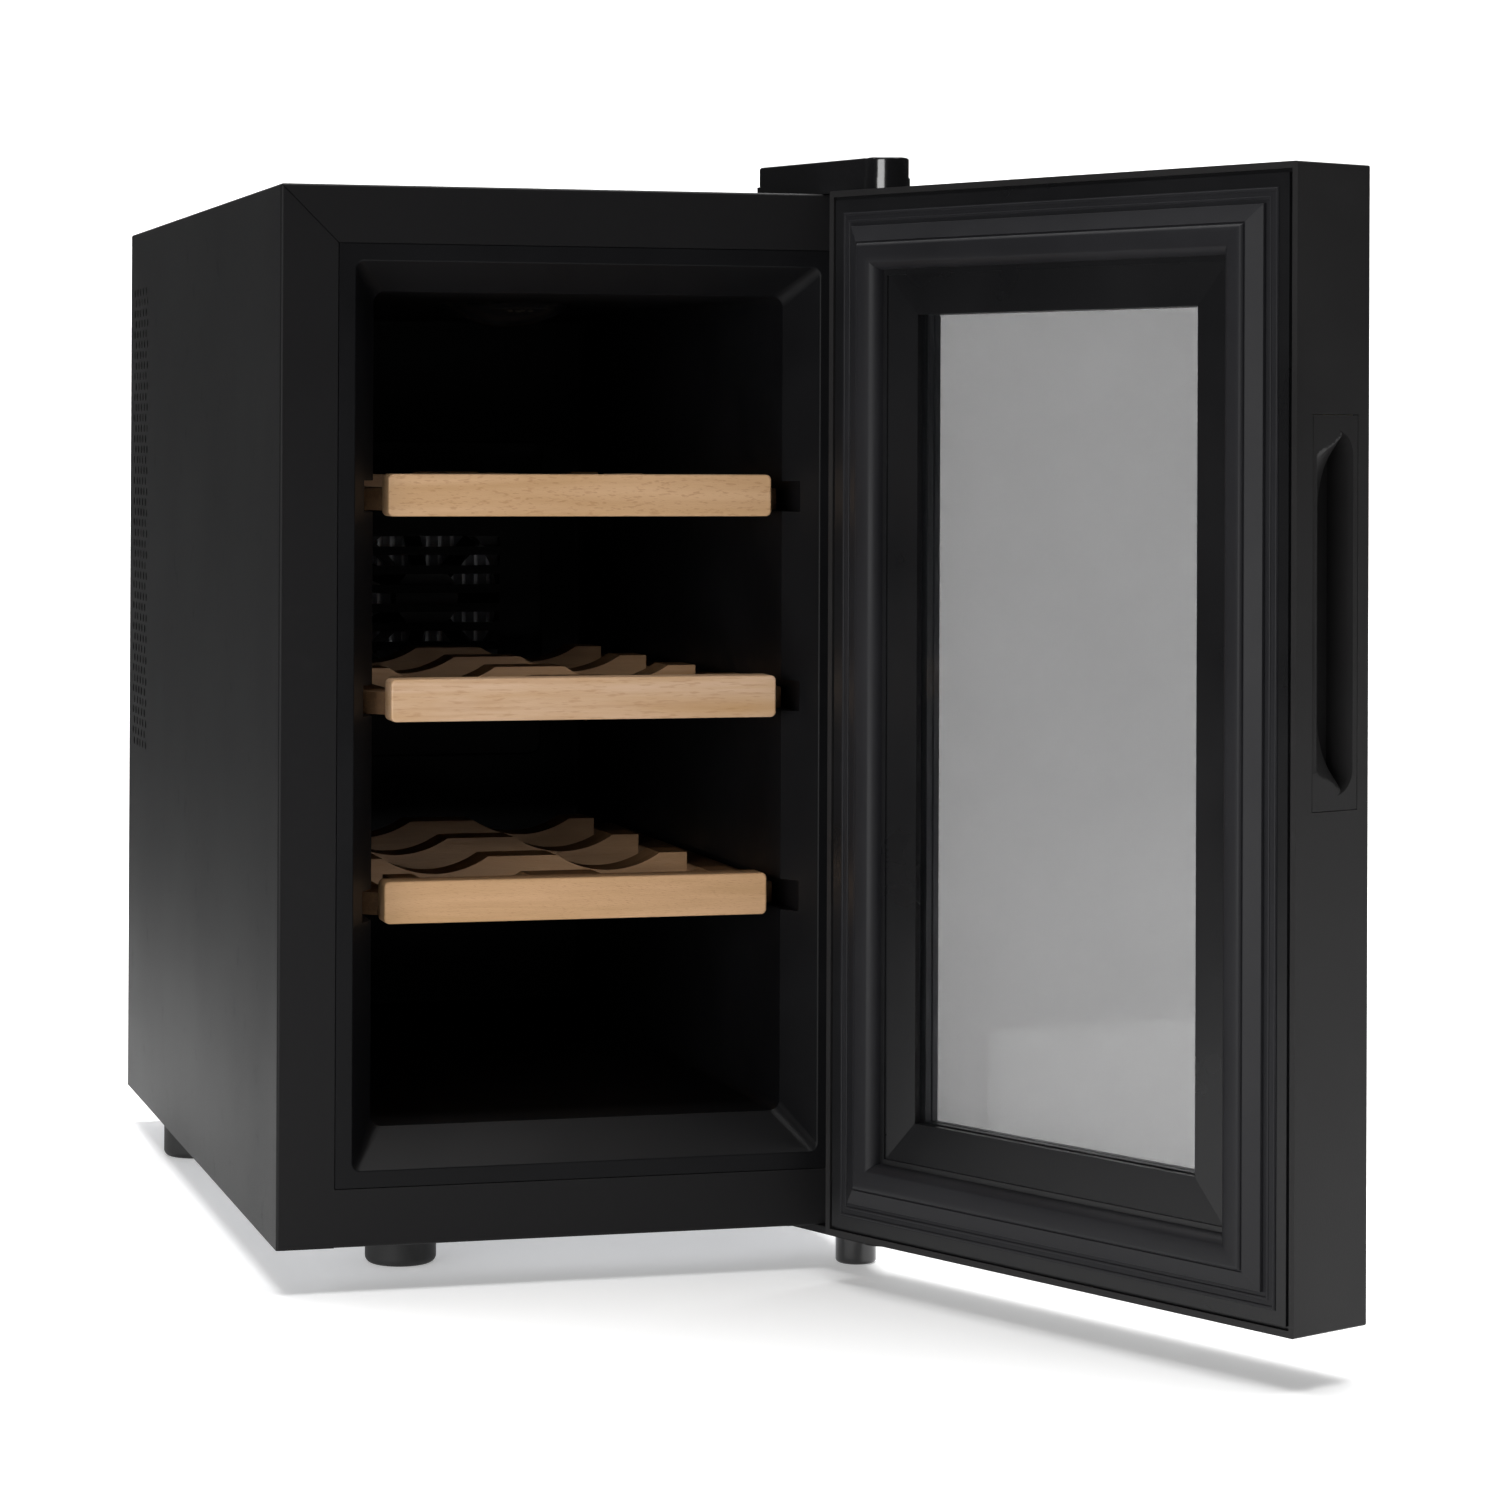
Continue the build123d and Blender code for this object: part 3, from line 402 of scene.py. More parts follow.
def grown(name, seed_mesh, tree, identifiers, sizes):
    """The plain mesh object that a geometry tree makes from a seed mesh."""
    seed = bpy.data.objects.new(name + "_seed", seed_mesh)
    scene.collection.objects.link(seed)
    modifier = seed.modifiers.new("grow", "NODES")
    modifier.node_group = tree
    for size, value in sizes.items():
        modifier[identifiers[size]] = value
    mesh = bpy.data.meshes.new_from_object(seed.evaluated_get(bpy.context.evaluated_depsgraph_get()))
    bpy.data.objects.remove(seed)
    mesh.name = name
    made = bpy.data.objects.new(name, mesh)
    scene.collection.objects.link(made)
    return made


def points_mesh(name, points):
    """A mesh of loose points."""
    mesh = bpy.data.meshes.new(name)
    mesh.from_pydata(points, [], [])
    return mesh


def flattened_ball(tree, inputs, segments):
    """A ball squashed to the tree's own Radius and Height."""
    ball = geometry_node(
        tree,
        "GeometryNodeMeshUVSphere",
        {},
        {"Segments": segments, "Rings": segments // 2, "Radius": inputs.outputs["Radius"]},
    )
    ratio = geometry_node(
        tree,
        "ShaderNodeMath",
        {"operation": "DIVIDE"},
        {0: inputs.outputs["Height"], 1: inputs.outputs["Radius"]},
    )
    squash = geometry_node(tree, "ShaderNodeCombineXYZ", {}, {"X": 1.0, "Y": 1.0, "Z": ratio.outputs[0]})
    return geometry_node(
        tree, "GeometryNodeTransform", {}, {"Geometry": ball.outputs[0], "Scale": squash.outputs[0]}
    ).outputs[0]


diode_yellow = moulded("diode_phosphor", DIODE_YELLOW, DIODE_PALE, 0.30, grain=0.0003)
diode_tree, diode_in, diode_sizes = geometry_tree("diodes", {"Radius": DIODE_R, "Height": DIODE_H})
beads = geometry_node(
    diode_tree,
    "GeometryNodeInstanceOnPoints",
    {},
    {"Points": diode_in.outputs["Geometry"], "Instance": flattened_ball(diode_tree, diode_in, 16)},
)
end_tree(diode_tree, beads.outputs[0], diode_yellow)

lamp_low, lamp_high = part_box("lamp_board")
lamp_centre = (lamp_low + lamp_high) / 2
diode_spots = []
for index in range(DIODE_COUNT):
    turn = 2 * math.pi * index / DIODE_COUNT
    diode_spots.append((
        lamp_centre.x + DIODE_RING_R * math.cos(turn),
        lamp_centre.y + DIODE_RING_R * math.sin(turn),
        lamp_low.z - 0.2 * MM,
    ))
diode_points = points_mesh("diode_spots", diode_spots)
diodes = grown("lamp_diodes", diode_points, diode_tree, diode_sizes, {"Radius": DIODE_R})
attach(diodes, "cabinet")

board_grey = moulded("lamp_board_grey", BOARD_GREY, BOARD_DARK, 0.40)
ceramic_white = moulded("white_ceramic", CERAMIC_WHITE, CERAMIC_CREAM, 0.40)
wear_finish(["lamp_board"], board_grey)
wear_finish(["thermoelectric_module"], ceramic_white)

frosted_lens, place = bare_finish("frosted_lens", Roughness=0.22, Specular_IOR_Level=0.55)
frost = noise(place, 900, detail=2)
wire(
    frosted_lens,
    Base_Color=blend_colours(LENS_SMOKE, LENS_GREY, noise(place, 40)),
    Alpha=between(frost, 0.3, 0.7, 0.60, 0.70),
    Normal=bumps(frost, 0.00004),
)
wear_finish(["lamp_lens"], frosted_lens)


# ---------------------------------------------------------------- cooling unit and mains parts
# Behind the cavity a thermoelectric module pumps heat between two extruded aluminium sinks, each
# with its own fan. The mains board and the appliance inlet sit low in the rear compartment.

ALUMINIUM_LIGHT = (0.76, 0.77, 0.79, 1)
ALUMINIUM_DARK = (0.60, 0.61, 0.64, 1)
FAN_BLACK = (0.008, 0.008, 0.0085, 1)
FAN_GREY = (0.013, 0.013, 0.0135, 1)
SOLDER_MASK = (0.018, 0.16, 0.055, 1)
SOLDER_MASK_DARK = (0.010, 0.10, 0.035, 1)
BRASS_LIGHT = (0.80, 0.64, 0.33, 1)
BRASS_DARK = (0.62, 0.47, 0.20, 1)
NYLON_WHITE = (0.80, 0.79, 0.74, 1)
NYLON_CREAM = (0.70, 0.68, 0.60, 1)

drawn_aluminium = rolled_metal("drawn_aluminium", ALUMINIUM_LIGHT, ALUMINIUM_DARK, 0.34, (900, 900, 40))
fan_plastic = moulded("fan_plastic", FAN_BLACK, FAN_GREY, 0.42)
solder_mask = moulded(
    "solder_mask", SOLDER_MASK, SOLDER_MASK_DARK, 0.28, grain=0.0012, depth=0.00005, coat=0.4
)
brass = rolled_metal("drawn_brass", BRASS_LIGHT, BRASS_DARK, 0.24, (900, 60, 900))
nylon = moulded("natural_nylon", NYLON_WHITE, NYLON_CREAM, 0.38)
wear_finish(["cold_sink", "cold_block", "hot_sink"], drawn_aluminium)
wear_finish(["inner_fan_frame", "inner_fan_rotor", "outer_fan_frame", "outer_fan_rotor"], fan_plastic)
wear_finish(["power_board", "touch_board"], solder_mask)
wear_finish(["inlet_pins"], brass)
wear_finish(["temperature_sensor", "hinge_washer", "door_bushes"], nylon)


# ---------------------------------------------------------------- rear guard, spacers and inlet
# Textured black mouldings that clip or screw to the back panel.

TRIM_BLACK = (0.009, 0.009, 0.009, 1)
TRIM_GREY = (0.014, 0.014, 0.014, 1)

trim_plastic = moulded("textured_trim_plastic", TRIM_BLACK, TRIM_GREY, 0.50, grain=0.0009, depth=0.00008)
wear_finish(["rear_fan_guard", "rear_spacers", "power_inlet"], trim_plastic)


# ---------------------------------------------------------------- screws
# Zinc-plated pan heads with a cross recess. Eight hold the back panel and two the lower hinge
# bracket. Three more, under the hinge cover, hold the upper hinge plate.

HEAD_R = 3.35 * MM
HEAD_H = 1.95 * MM
RECESS_LENGTH = 3.6 * MM
RECESS_WIDTH = 0.8 * MM
RECESS_DEPTH = 1.1 * MM
ZINC_SCREW_LIGHT = (0.46, 0.46, 0.48, 1)
ZINC_SCREW_DARK = (0.26, 0.26, 0.28, 1)
TOWARDS_BACK = -math.pi / 2
TOWARDS_FLOOR = math.pi

screw_zinc = rolled_metal("plated_screw", ZINC_SCREW_LIGHT, ZINC_SCREW_DARK, 0.30, (700, 700, 700))
head_inputs = {
    "Radius": HEAD_R,
    "Height": HEAD_H,
    "Recess length": RECESS_LENGTH,
    "Recess width": RECESS_WIDTH,
    "Recess depth": RECESS_DEPTH,
    "Tilt": 0.0,
}
screw_tree, screw_in, screw_sizes = geometry_tree("screw_heads", head_inputs)
head = flattened_ball(screw_tree, screw_in, 28)
depth_both_ways = geometry_node(
    screw_tree, "ShaderNodeMath", {"operation": "MULTIPLY"}, {0: screw_in.outputs["Recess depth"], 1: 2.0}
)
lift = geometry_node(screw_tree, "ShaderNodeCombineXYZ", {}, {"Z": screw_in.outputs["Height"]})
for length_axis, width_axis in (("X", "Y"), ("Y", "X")):
    bar_size = geometry_node(
        screw_tree,
        "ShaderNodeCombineXYZ",
        {},
        {
            length_axis: screw_in.outputs["Recess length"],
            width_axis: screw_in.outputs["Recess width"],
            "Z": depth_both_ways.outputs[0],
        },
    )
    bar = geometry_node(screw_tree, "GeometryNodeMeshCube", {}, {"Size": bar_size.outputs[0]})
    raised = geometry_node(
        screw_tree, "GeometryNodeTransform", {}, {"Geometry": bar.outputs[0], "Translation": lift.outputs[0]}
    )
    cut = screw_tree.nodes.new("GeometryNodeMeshBoolean")
    cut.operation = "DIFFERENCE"
    screw_tree.links.new(head, cut.inputs["Mesh 1"])
    screw_tree.links.new(raised.outputs[0], cut.inputs["Mesh 2"])
    head = cut.outputs["Mesh"]
tilt = geometry_node(screw_tree, "ShaderNodeCombineXYZ", {}, {"X": screw_in.outputs["Tilt"]})
heads = geometry_node(
    screw_tree,
    "GeometryNodeInstanceOnPoints",
    {},
    {"Points": screw_in.outputs["Geometry"], "Instance": head, "Rotation": tilt.outputs[0]},
)
end_tree(screw_tree, heads.outputs[0], screw_zinc)


def middles(node):
    """The middle of each separate solid of a CAD node."""
    solids = bmesh.new()
    solids.from_mesh(frame["nodes"][node].data)
    bmesh.ops.remove_doubles(solids, verts=solids.verts, dist=0.01 * MM)
    left = set(solids.verts)
    found = []
    while left:
        solid = {left.pop()}
        edge_of_it = set(solid)
        while edge_of_it:
            neighbours = {edge.other_vert(vert) for vert in edge_of_it for edge in vert.link_edges}
            edge_of_it = neighbours - solid
            solid |= edge_of_it
        left -= solid
        low = Vector([min(vert.co[axis] for vert in solid) for axis in range(3)])
        high = Vector([max(vert.co[axis] for vert in solid) for axis in range(3)])
        found.append((low + high) / 2)
    solids.free()
    return sorted(found, key=tuple)


panel_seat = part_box("back_panel")[1].y
panel_spots = [(spot.x, panel_seat, spot.z) for spot in middles("back_panel_screws")]
panel_points = points_mesh("panel_spots", panel_spots)
panel_heads = grown("back_panel_screw_heads", panel_points, screw_tree, screw_sizes, {"Tilt": TOWARDS_BACK})
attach(panel_heads, "cabinet")
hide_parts("back_panel_screws")

bracket_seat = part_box("lower_hinge_bracket")[0].z
bracket_spots = [(spot.x, spot.y, bracket_seat) for spot in middles("lower_hinge_screws")]
bracket_points = points_mesh("bracket_spots", bracket_spots)
bracket_heads = grown(
    "lower_hinge_screw_heads", bracket_points, screw_tree, screw_sizes, {"Tilt": TOWARDS_FLOOR}
)
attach(bracket_heads, "cabinet")
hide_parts("lower_hinge_screws")
wear_finish(["upper_hinge_screws"], screw_zinc)


# ---------------------------------------------------------------- feet
# Three round rubber feet, and on the hinge side a gloss levelling leg that screws into the bracket.

RUBBER_BLACK = (0.009, 0.009, 0.009, 1)
RUBBER_GREY = (0.016, 0.016, 0.0155, 1)
GLOSS_BLACK = (0.0045, 0.0045, 0.0050, 1)
GLOSS_GREY = (0.0070, 0.0070, 0.0078, 1)

foot_rubber = moulded("foot_rubber", RUBBER_BLACK, RUBBER_GREY, 0.62, grain=0.0006, depth=0.00005)
gloss_plastic = moulded(
    "gloss_black_plastic", GLOSS_BLACK, GLOSS_GREY, 0.16, grain=0.004, depth=0.00003, coat=0.5
)
wear_finish(["front_left_foot", "rear_left_foot", "rear_right_foot"], foot_rubber)
wear_finish(["levelling_leg"], gloss_plastic)


# ---------------------------------------------------------------- hinges
# Plated steel pins in a folded plate at the top and a black bracket at the bottom. A gloss cover
# snaps over the upper plate.

wear_finish(["upper_hinge_plate", "upper_hinge_pin", "lower_hinge_pin"], galvanised)
wear_finish(["lower_hinge_bracket"], black_steel)
wear_finish(["hinge_cover"], gloss_plastic)


# ---------------------------------------------------------------- door casing and inner face
# The door is a moulded casing. An inner face of glossier plastic snaps into it, and a mitred bead of
# the same plastic holds the edge of the glass.

DOOR_GAP = 6.5 * MM
CASING_BLACK = (0.0125, 0.0120, 0.0123, 1)
CASING_GREY = (0.0165, 0.0160, 0.0163, 1)
FACE_BLACK = (0.0060, 0.0060, 0.0066, 1)
FACE_GREY = (0.0090, 0.0090, 0.0098, 1)

casing_plastic = moulded(
    "door_casing_plastic", CASING_BLACK, CASING_GREY, 0.50, grain=0.0007, depth=0.00004, specular=0.25
)
face_plastic = moulded(
    "door_face_plastic", FACE_BLACK, FACE_GREY, 0.30, grain=0.0010, depth=0.00002, specular=0.3
)
wear_finish(["door_frame"], casing_plastic)
wear_finish(["door_inner_frame", "glazing_bead"], face_plastic)

hinge = next(joint for joint in frame["joints"] if joint["name"] == "door_hinge")
HINGE_SPOT = Vector(hinge["pos_m"])
DOOR_OPEN = math.radians(-hinge["range_deg"][0])
CASING_LOW, CASING_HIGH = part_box("outer_shell")
DOOR_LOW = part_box("door_frame")[0].z
DOOR_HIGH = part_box("door_frame")[1].z
DOOR_FACE_Y = CASING_LOW.y - DOOR_GAP


def hung(x, y, z):
    """Where a point of the closed door is when the door stands open as at rest."""
    arm = Vector((x - HINGE_SPOT.x, y - HINGE_SPOT.y, 0))
    arm.rotate(Matrix.Rotation(DOOR_OPEN, 3, "Z"))
    return HINGE_SPOT.x + arm.x, HINGE_SPOT.y + arm.y, z


def as_closed(place):
    """Coordinates of the open door turned back to the closed door."""
    turned = Matrix.Rotation(-DOOR_OPEN, 3, "Z") @ HINGE_SPOT
    shift = (HINGE_SPOT.x - turned.x, HINGE_SPOT.y - turned.y, 0)
    return stretch(place, (1, 1, 1), (0, 0, -DOOR_OPEN), shift)


# ---------------------------------------------------------------- handle recess
# A panel set flush in the door's free side, with a finger recess: a ramp falls to a curved ridge,
# and behind the ridge the recess is deep, so that fingers hook behind the door's front edge.

SLOT_HALF = 65.5 * MM
SLOT_R = 9.5 * MM
PANEL_HALF_W = 11.75 * MM
PANEL_HALF_L = 70.75 * MM
PANEL_T = 1.4 * MM
RIM_R = 0.7 * MM
RAMP_DEPTH = 7.5 * MM
DEEP_DEPTH = 12.0 * MM
RIDGE_ACROSS = -0.22
RIDGE_REACH = 0.80
RIDGE_CURVE = 5.0
RIDGE_STEP = 1.2 * MM
RAMP_START = 0.45
END_LAND = 9.0 * MM
END_FALL = 3.0 * MM
RAMP_RUN = 5.0 * MM
WELD = 0.002 * MM
FLAT = 0.9998
HANDLE_CENTRE_Z = (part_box("handle_cup")[0].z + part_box("handle_cup")[1].z) / 2
HANDLE_CENTRE_B = 20.4 * MM


def slot_half_width(along):
    """Half the slot's width at a distance from its middle."""
    past = abs(along) - (SLOT_HALF - SLOT_R)
    if past <= 0:
        return SLOT_R
    return math.sqrt(max(0.0, SLOT_R**2 - past**2))


def recess_depth(along, share):
    """Depth under the door's side; share runs from -1 at the inner rim to 1 at the outer rim."""
    half = slot_half_width(along)
    from_rim = half * (1 - abs(share))
    if half == 0:
        return 0.0
    lean = abs(along) / SLOT_HALF
    ridge = RIDGE_ACROSS + (RIDGE_REACH - RIDGE_ACROSS) * lean**RIDGE_CURVE
    from_end = SLOT_HALF - abs(along)
    land = END_LAND * (1 - (share + 1) / 2)
    fall = 1 - math.exp(-max(0.0, from_end - land) / RAMP_RUN)
    if share < ridge:
        ramp = RAMP_DEPTH * fall * (RAMP_START + (1 - RAMP_START) * (share + 1) / (ridge + 1))
        return min(ramp, from_rim * 3 + RIM_R * 0.3) if from_rim < RIM_R else ramp
    drop = min(1.0, (share - ridge) * half / RIDGE_STEP)
    ramp = RAMP_DEPTH * fall
    deep = ramp + (DEEP_DEPTH - ramp) * drop * min(1.0, from_end / END_FALL)
    if from_rim < RIM_R:
        bend = 1 - from_rim / RIM_R
        return min(deep, RIM_R * (1 - math.sqrt(max(0.0, 1 - (1 - bend) ** 2))) + deep * (1 - bend))
    return deep


def recess_rows():
    """Rows of points over the handle panel, from its lower end to its upper end."""
    ends = [math.sin(math.radians(6 * step)) for step in range(16)]
    straight = SLOT_HALF - SLOT_R
    upper = [straight + SLOT_R * value for value in ends]
    middle = [straight * step / 24 for step in range(-23, 24)]
    alongs = [-PANEL_HALF_L, *[-value for value in reversed(upper)], *middle, *upper, PANEL_HALF_L]
    fine = [0.0, 0.12, 0.3, 0.5, 0.75, 1.0]
    rows = []
    for along in alongs:
        half = slot_half_width(along) if abs(along) < SLOT_HALF else 0.0
        rim = [value * RIM_R / SLOT_R for value in fine]
        lean = min(1.0, abs(along) / SLOT_HALF)
        ridge = RIDGE_ACROSS + (RIDGE_REACH - RIDGE_ACROSS) * lean**RIDGE_CURVE
        left = [-1 + value for value in rim]
        ramp = [left[-1] + (ridge - left[-1]) * step / 8 for step in range(1, 9)]
        step_down = RIDGE_STEP / SLOT_R
        falls = [ridge + step_down * value for value in (0.3, 0.6, 1.0)]
        right_end = 1 - rim[-1]
        falls = [min(value, right_end) for value in falls]
        floor = [falls[-1] + (right_end - falls[-1]) * step / 6 for step in range(1, 7)]
        right = [1 - value for value in reversed(rim[:-1])]
        row = [(-PANEL_HALF_W, along, 0.0)]
        for share in left + ramp + falls + floor + right:
            row.append((share * half, along, recess_depth(along, share) if half else 0.0))
        row.append((PANEL_HALF_W, along, 0.0))
        rows.append(row)
    return rows


handle_rows = []
for row in recess_rows():
    handle_rows.append([
        hung(CASING_LOW.x + depth, DOOR_FACE_Y - HANDLE_CENTRE_B - over, HANDLE_CENTRE_Z + along)
        for over, along, depth in row
    ])
recess = sheet_of("handle_recess", handle_rows)
skin = bmesh.new()
skin.from_mesh(recess.data)
bmesh.ops.remove_doubles(skin, verts=skin.verts, dist=WELD)
bmesh.ops.recalc_face_normals(skin, faces=skin.faces)
outward = Vector(hung(CASING_LOW.x - 1, 0, 0)) - Vector(hung(CASING_LOW.x, 0, 0))
if max(skin.faces, key=lambda face: face.calc_area()).normal.dot(outward) < 0:
    bmesh.ops.reverse_faces(skin, faces=skin.faces)
skin.to_mesh(recess.data)
skin.free()
recess.data.set_sharp_from_angle(angle=math.radians(28))
for face in recess.data.polygons:
    face.use_smooth = face.normal.dot(outward) < FLAT
thicken = recess.modifiers.new("wall", "SOLIDIFY")
thicken.thickness = PANEL_T
thicken.offset = -1
recess.data.materials.append(casing_plastic)
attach(recess, "door")
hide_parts("handle_cup")


# ---------------------------------------------------------------- glazing
# Three sheets of smoked glass: the front one is printed black round its border, and the inner two
# are held apart by a drawn metal spacer with a groove along its inner side.

GLASS_BLACK = (0.010, 0.011, 0.012, 1)
SMOKE = 0.24
SMOKE_AT_EDGE = 0.46
BORDER_SIDE = 13.5 * MM
BORDER_END = 42.0 * MM
SPACER_LIGHT = (0.20, 0.20, 0.21, 1)
SPACER_DARK = (0.11, 0.11, 0.12, 1)


def smoked_glass(name, bordered):
    """Smoked glass, faintly smudged, denser at a glancing angle, with a printed border if it has one."""
    material, place = bare_finish(name, IOR=1.52)
    smudge = noise(place, 26, detail=5, roughness=0.6)
    glance = place.node("ShaderNodeLayerWeight", {}, {"Blend": 0.25})
    alpha = glance * (SMOKE_AT_EDGE - SMOKE) + smudge * 0.02 + (SMOKE - 0.01)
    if bordered:
        closed = as_closed(place)
        middle_z = (DOOR_LOW + DOOR_HIGH) / 2
        from_axis = closed.node("ShaderNodeSeparateXYZ", {}, {"Vector": closed}, 0)
        over_x = abs(from_axis) - (CASING_HIGH.x - BORDER_SIDE)
        from_middle = closed.node("ShaderNodeSeparateXYZ", {}, {"Vector": closed}, 2) - middle_z
        over_z = abs(from_middle) - ((DOOR_HIGH - DOOR_LOW) / 2 - BORDER_END)
        printed = place.math("MAXIMUM", over_x, over_z) > 0.0
        alpha = place.math("MAXIMUM", alpha, printed)
    wire(
        material,
        Base_Color=blend_colours(GLASS_BLACK, (0.016, 0.017, 0.018, 1), smudge),
        Roughness=between(smudge, 0.35, 0.75, 0.03, 0.09),
        Alpha=alpha,
    )
    return material


wear_finish(["inner_pane", "middle_pane"], smoked_glass("smoked_glass", False))
wear_finish(["front_glass"], smoked_glass("bordered_glass", True))
spacer_metal = rolled_metal("drawn_spacer", SPACER_LIGHT, SPACER_DARK, 0.38, (900, 900, 20))
wear_finish(["glazing_spacer"], spacer_metal)


# ---------------------------------------------------------------- gasket
# A magnetic seal of soft vinyl, cut and welded at 45 degrees in its four corners: two fine ribs, a
# sloping flange and a round bulb that holds the magnet strips.

BASE_FROM = 8.8
BASE_H = 0.3
RIB_MARGINS = (9.7, 12.6)
RIB_HALF_W = 0.55
RIB_H = 0.75
FLANGE_FROM = 14.7
FLANGE_LOW = 1.9
FLANGE_HIGH = 4.6
STEP_AT = 21.3
BULB_FROM = 21.7
CROWN_AT = 24.5
CROWN_H = 6.1
BULB_TO = 32.5
BULB_SQUARE = 2 / 2.4
BULB_STEPS = 14
RIB_STEPS = 6
GASKET_BLACK = (0.0105, 0.0105, 0.0120, 1)
GASKET_GREY = (0.0150, 0.0150, 0.0172, 1)


def gasket_profile():
    """The seal's section as (margin, height) in millimetres, from its outer edge to its inner one."""
    line = [(BASE_FROM, 0.0), (BASE_FROM, BASE_H)]
    for margin in RIB_MARGINS:
        for step in range(RIB_STEPS + 1):
            turn = math.pi * step / RIB_STEPS
            rise = (RIB_H - BASE_H) * math.sin(turn)
            line.append((margin - RIB_HALF_W * math.cos(turn), BASE_H + rise))
    line += [(FLANGE_FROM, BASE_H), (FLANGE_FROM, FLANGE_LOW - 0.5), (FLANGE_FROM + 0.15, FLANGE_LOW - 0.15)]
    line += [(FLANGE_FROM + 0.5, FLANGE_LOW), (STEP_AT - 0.3, FLANGE_HIGH), (STEP_AT, FLANGE_HIGH - 0.4)]
    for step in range(BULB_STEPS):
        turn = math.pi / 2 * step / BULB_STEPS
        rise = CROWN_H - FLANGE_HIGH + 0.4
        line.append((
            CROWN_AT - (CROWN_AT - BULB_FROM) * math.cos(turn),
            FLANGE_HIGH - 0.4 + rise * math.sin(turn),
        ))
    for step in range(BULB_STEPS + 1):
        turn = math.pi / 2 * (1 - step / BULB_STEPS)
        line.append((
            CROWN_AT + (BULB_TO - CROWN_AT) * math.cos(turn) ** BULB_SQUARE,
            CROWN_H * math.sin(turn) ** BULB_SQUARE,
        ))
    return line


def mitred_ring(name, profile):
    """A closed section carried round the door's four sides, mitred at the corners, as a mesh object."""
    ring = bmesh.new()
    loops = []
    for side_x, side_z in ((-1, -1), (1, -1), (1, 1), (-1, 1)):
        loop = []
        for margin, height in profile:
            x = side_x * (CASING_HIGH.x - margin * MM)
            z = DOOR_LOW + margin * MM if side_z < 0 else DOOR_HIGH - margin * MM
            loop.append(ring.verts.new(hung(x, DOOR_FACE_Y + height * MM, z)))
        loops.append(loop)
    count = len(profile)
    for index, loop in enumerate(loops):
        following = loops[(index + 1) % 4]
        for point in range(count):
            after = (point + 1) % count
            ring.faces.new((loop[point], loop[after], following[after], following[point]))
    for face in ring.faces:
        face.smooth = True
    bmesh.ops.recalc_face_normals(ring, faces=ring.faces)
    mesh = bpy.data.meshes.new(name)
    ring.to_mesh(mesh)
    ring.free()
    mesh.set_sharp_from_angle(angle=math.radians(32))
    made = bpy.data.objects.new(name, mesh)
    scene.collection.objects.link(made)
    return made


gasket_vinyl = moulded(
    "gasket_vinyl", GASKET_BLACK, GASKET_GREY, 0.50, grain=0.0012, depth=0.00003, specular=0.2
)
magnet_rubber = moulded("magnet_rubber", (0.050, 0.040, 0.034, 1), (0.070, 0.058, 0.050, 1), 0.7)
gasket = mitred_ring("gasket_seal", gasket_profile())
gasket.data.materials.append(gasket_vinyl)
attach(gasket, "door")
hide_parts("door_gasket")
wear_finish(["gasket_magnets"], magnet_rubber)


# ---------------------------------------------------------------- shelves
# Each shelf has a solid beech front board, two rails that run in the liner's grooves and four slats
# hollowed for the bottles. The boards differ in figure; the rails and slats are coloured darker than the
# boards, as painted shade.

BEECH_PALE = (0.62, 0.395, 0.228, 1)
BEECH_GREYED = (0.61, 0.415, 0.275, 1)
BEECH_ORANGE = (0.63, 0.385, 0.215, 1)
BEECH_WARM = (0.50, 0.300, 0.145, 1)
BEECH_DEEP = (0.36, 0.185, 0.075, 1)
# The two slat colours are painted shade: darker than the boards' beech, for the shade on the slats behind
# the boards.
SLAT_PAINTED_SHADE_DEEP = (0.28, 0.155, 0.075, 1)
SLAT_PAINTED_SHADE = (0.42, 0.250, 0.130, 1)
# The two rail colours are painted shade: a darker brown than the boards, for the shade on the rails behind
# the boards.
RAIL_PAINTED_SHADE = (0.20, 0.115, 0.060, 1)
RAIL_PAINTED_SHADE_DEEP = (0.13, 0.070, 0.034, 1)
ALONG_X = (0, 0, 0)
ALONG_Y = (0, 0, math.pi / 2)


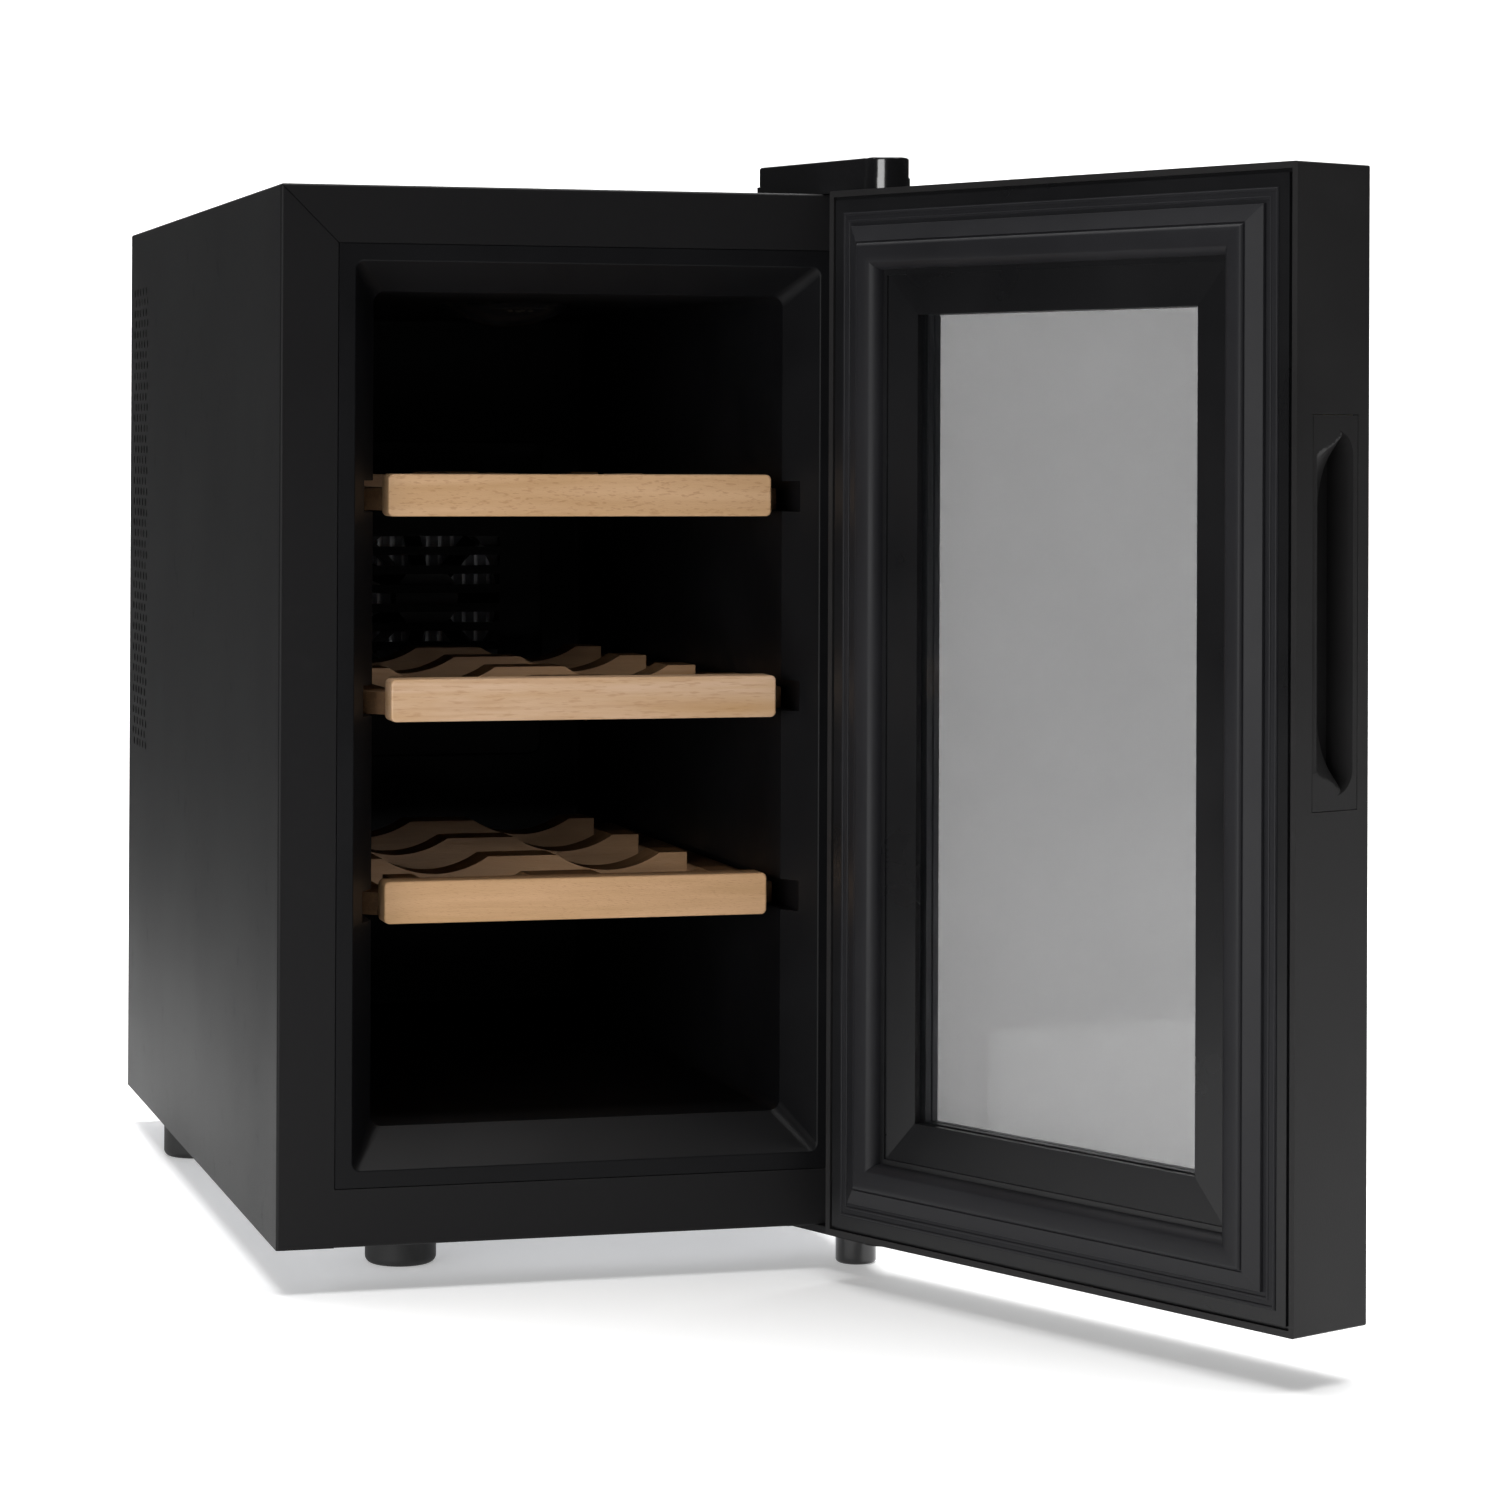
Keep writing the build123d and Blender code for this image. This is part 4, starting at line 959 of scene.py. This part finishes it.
def beech(name, grain_turn, pale, warm, fleck_lean, fleck_share, streak_share, fleck_scale):
    """Oiled beech: soft figure along the grain, short darker flecks and fine pores."""
    material, place = bare_finish(name, Specular_IOR_Level=0.35)
    along = stretch(place, (1, 1, 1), grain_turn)
    figure = noise(stretch(along, (9, 110, 110)), 1.0, detail=4, roughness=0.55, distortion=0.7)
    streaks = between(noise(stretch(along, (16, 420, 420)), 1.0, detail=3), 0.50, 0.72)
    leaning = stretch(along, fleck_scale, (0, fleck_lean, 0))
    flecks = between(noise(leaning, 1.0, detail=2, roughness=0.45), 0.57, 0.68)
    pores = noise(stretch(along, (420, 3800, 3800)), 1.0, detail=2)
    ground = blend_colours(pale, warm, between(figure, 0.32, 0.68))
    streaked = blend_colours(ground, BEECH_DEEP, streaks * streak_share)
    flecked = blend_colours(streaked, BEECH_DEEP, flecks * fleck_share)
    wire(
        material,
        Base_Color=flecked,
        Roughness=between(pores, 0.3, 0.7, 0.40, 0.54),
        Normal=bumps(pores, 0.00008, bumps(flecks, 0.00003)),
    )
    return material


upper_beech = beech(
    "upper_beech", ALONG_X, BEECH_PALE, BEECH_WARM, math.radians(24), 0.42, 0.10, (330, 900, 1250)
)
middle_beech = beech(
    "middle_beech", ALONG_X, BEECH_GREYED, BEECH_WARM, math.radians(3), 0.34, 0.30, (150, 900, 1300)
)
lower_beech = beech(
    "lower_beech", ALONG_X, BEECH_ORANGE, BEECH_WARM, math.radians(8), 0.26, 0.14, (420, 1400, 2200)
)
# Slats: beech coloured darker as painted shade.
slat_beech_painted_shade = beech("slat_beech_painted_shade", ALONG_X, SLAT_PAINTED_SHADE, SLAT_PAINTED_SHADE_DEEP, 0.0, 0.30, 0.16, (200, 1100, 1500))
# Rails: beech coloured darker as painted shade.
rail_beech_painted_shade = beech("rail_beech_painted_shade", ALONG_Y, RAIL_PAINTED_SHADE, RAIL_PAINTED_SHADE_DEEP, 0.0, 0.30, 0.16, (200, 1100, 1500))
wear_finish(["upper_shelf_board"], upper_beech)
wear_finish(["middle_shelf_board"], middle_beech)
wear_finish(["lower_shelf_board"], lower_beech)
for shelf in ("lower", "middle", "upper"):
    wear_finish([f"{shelf}_shelf_slats"], slat_beech_painted_shade)
    wear_finish([f"{shelf}_shelf_rails"], rail_beech_painted_shade)
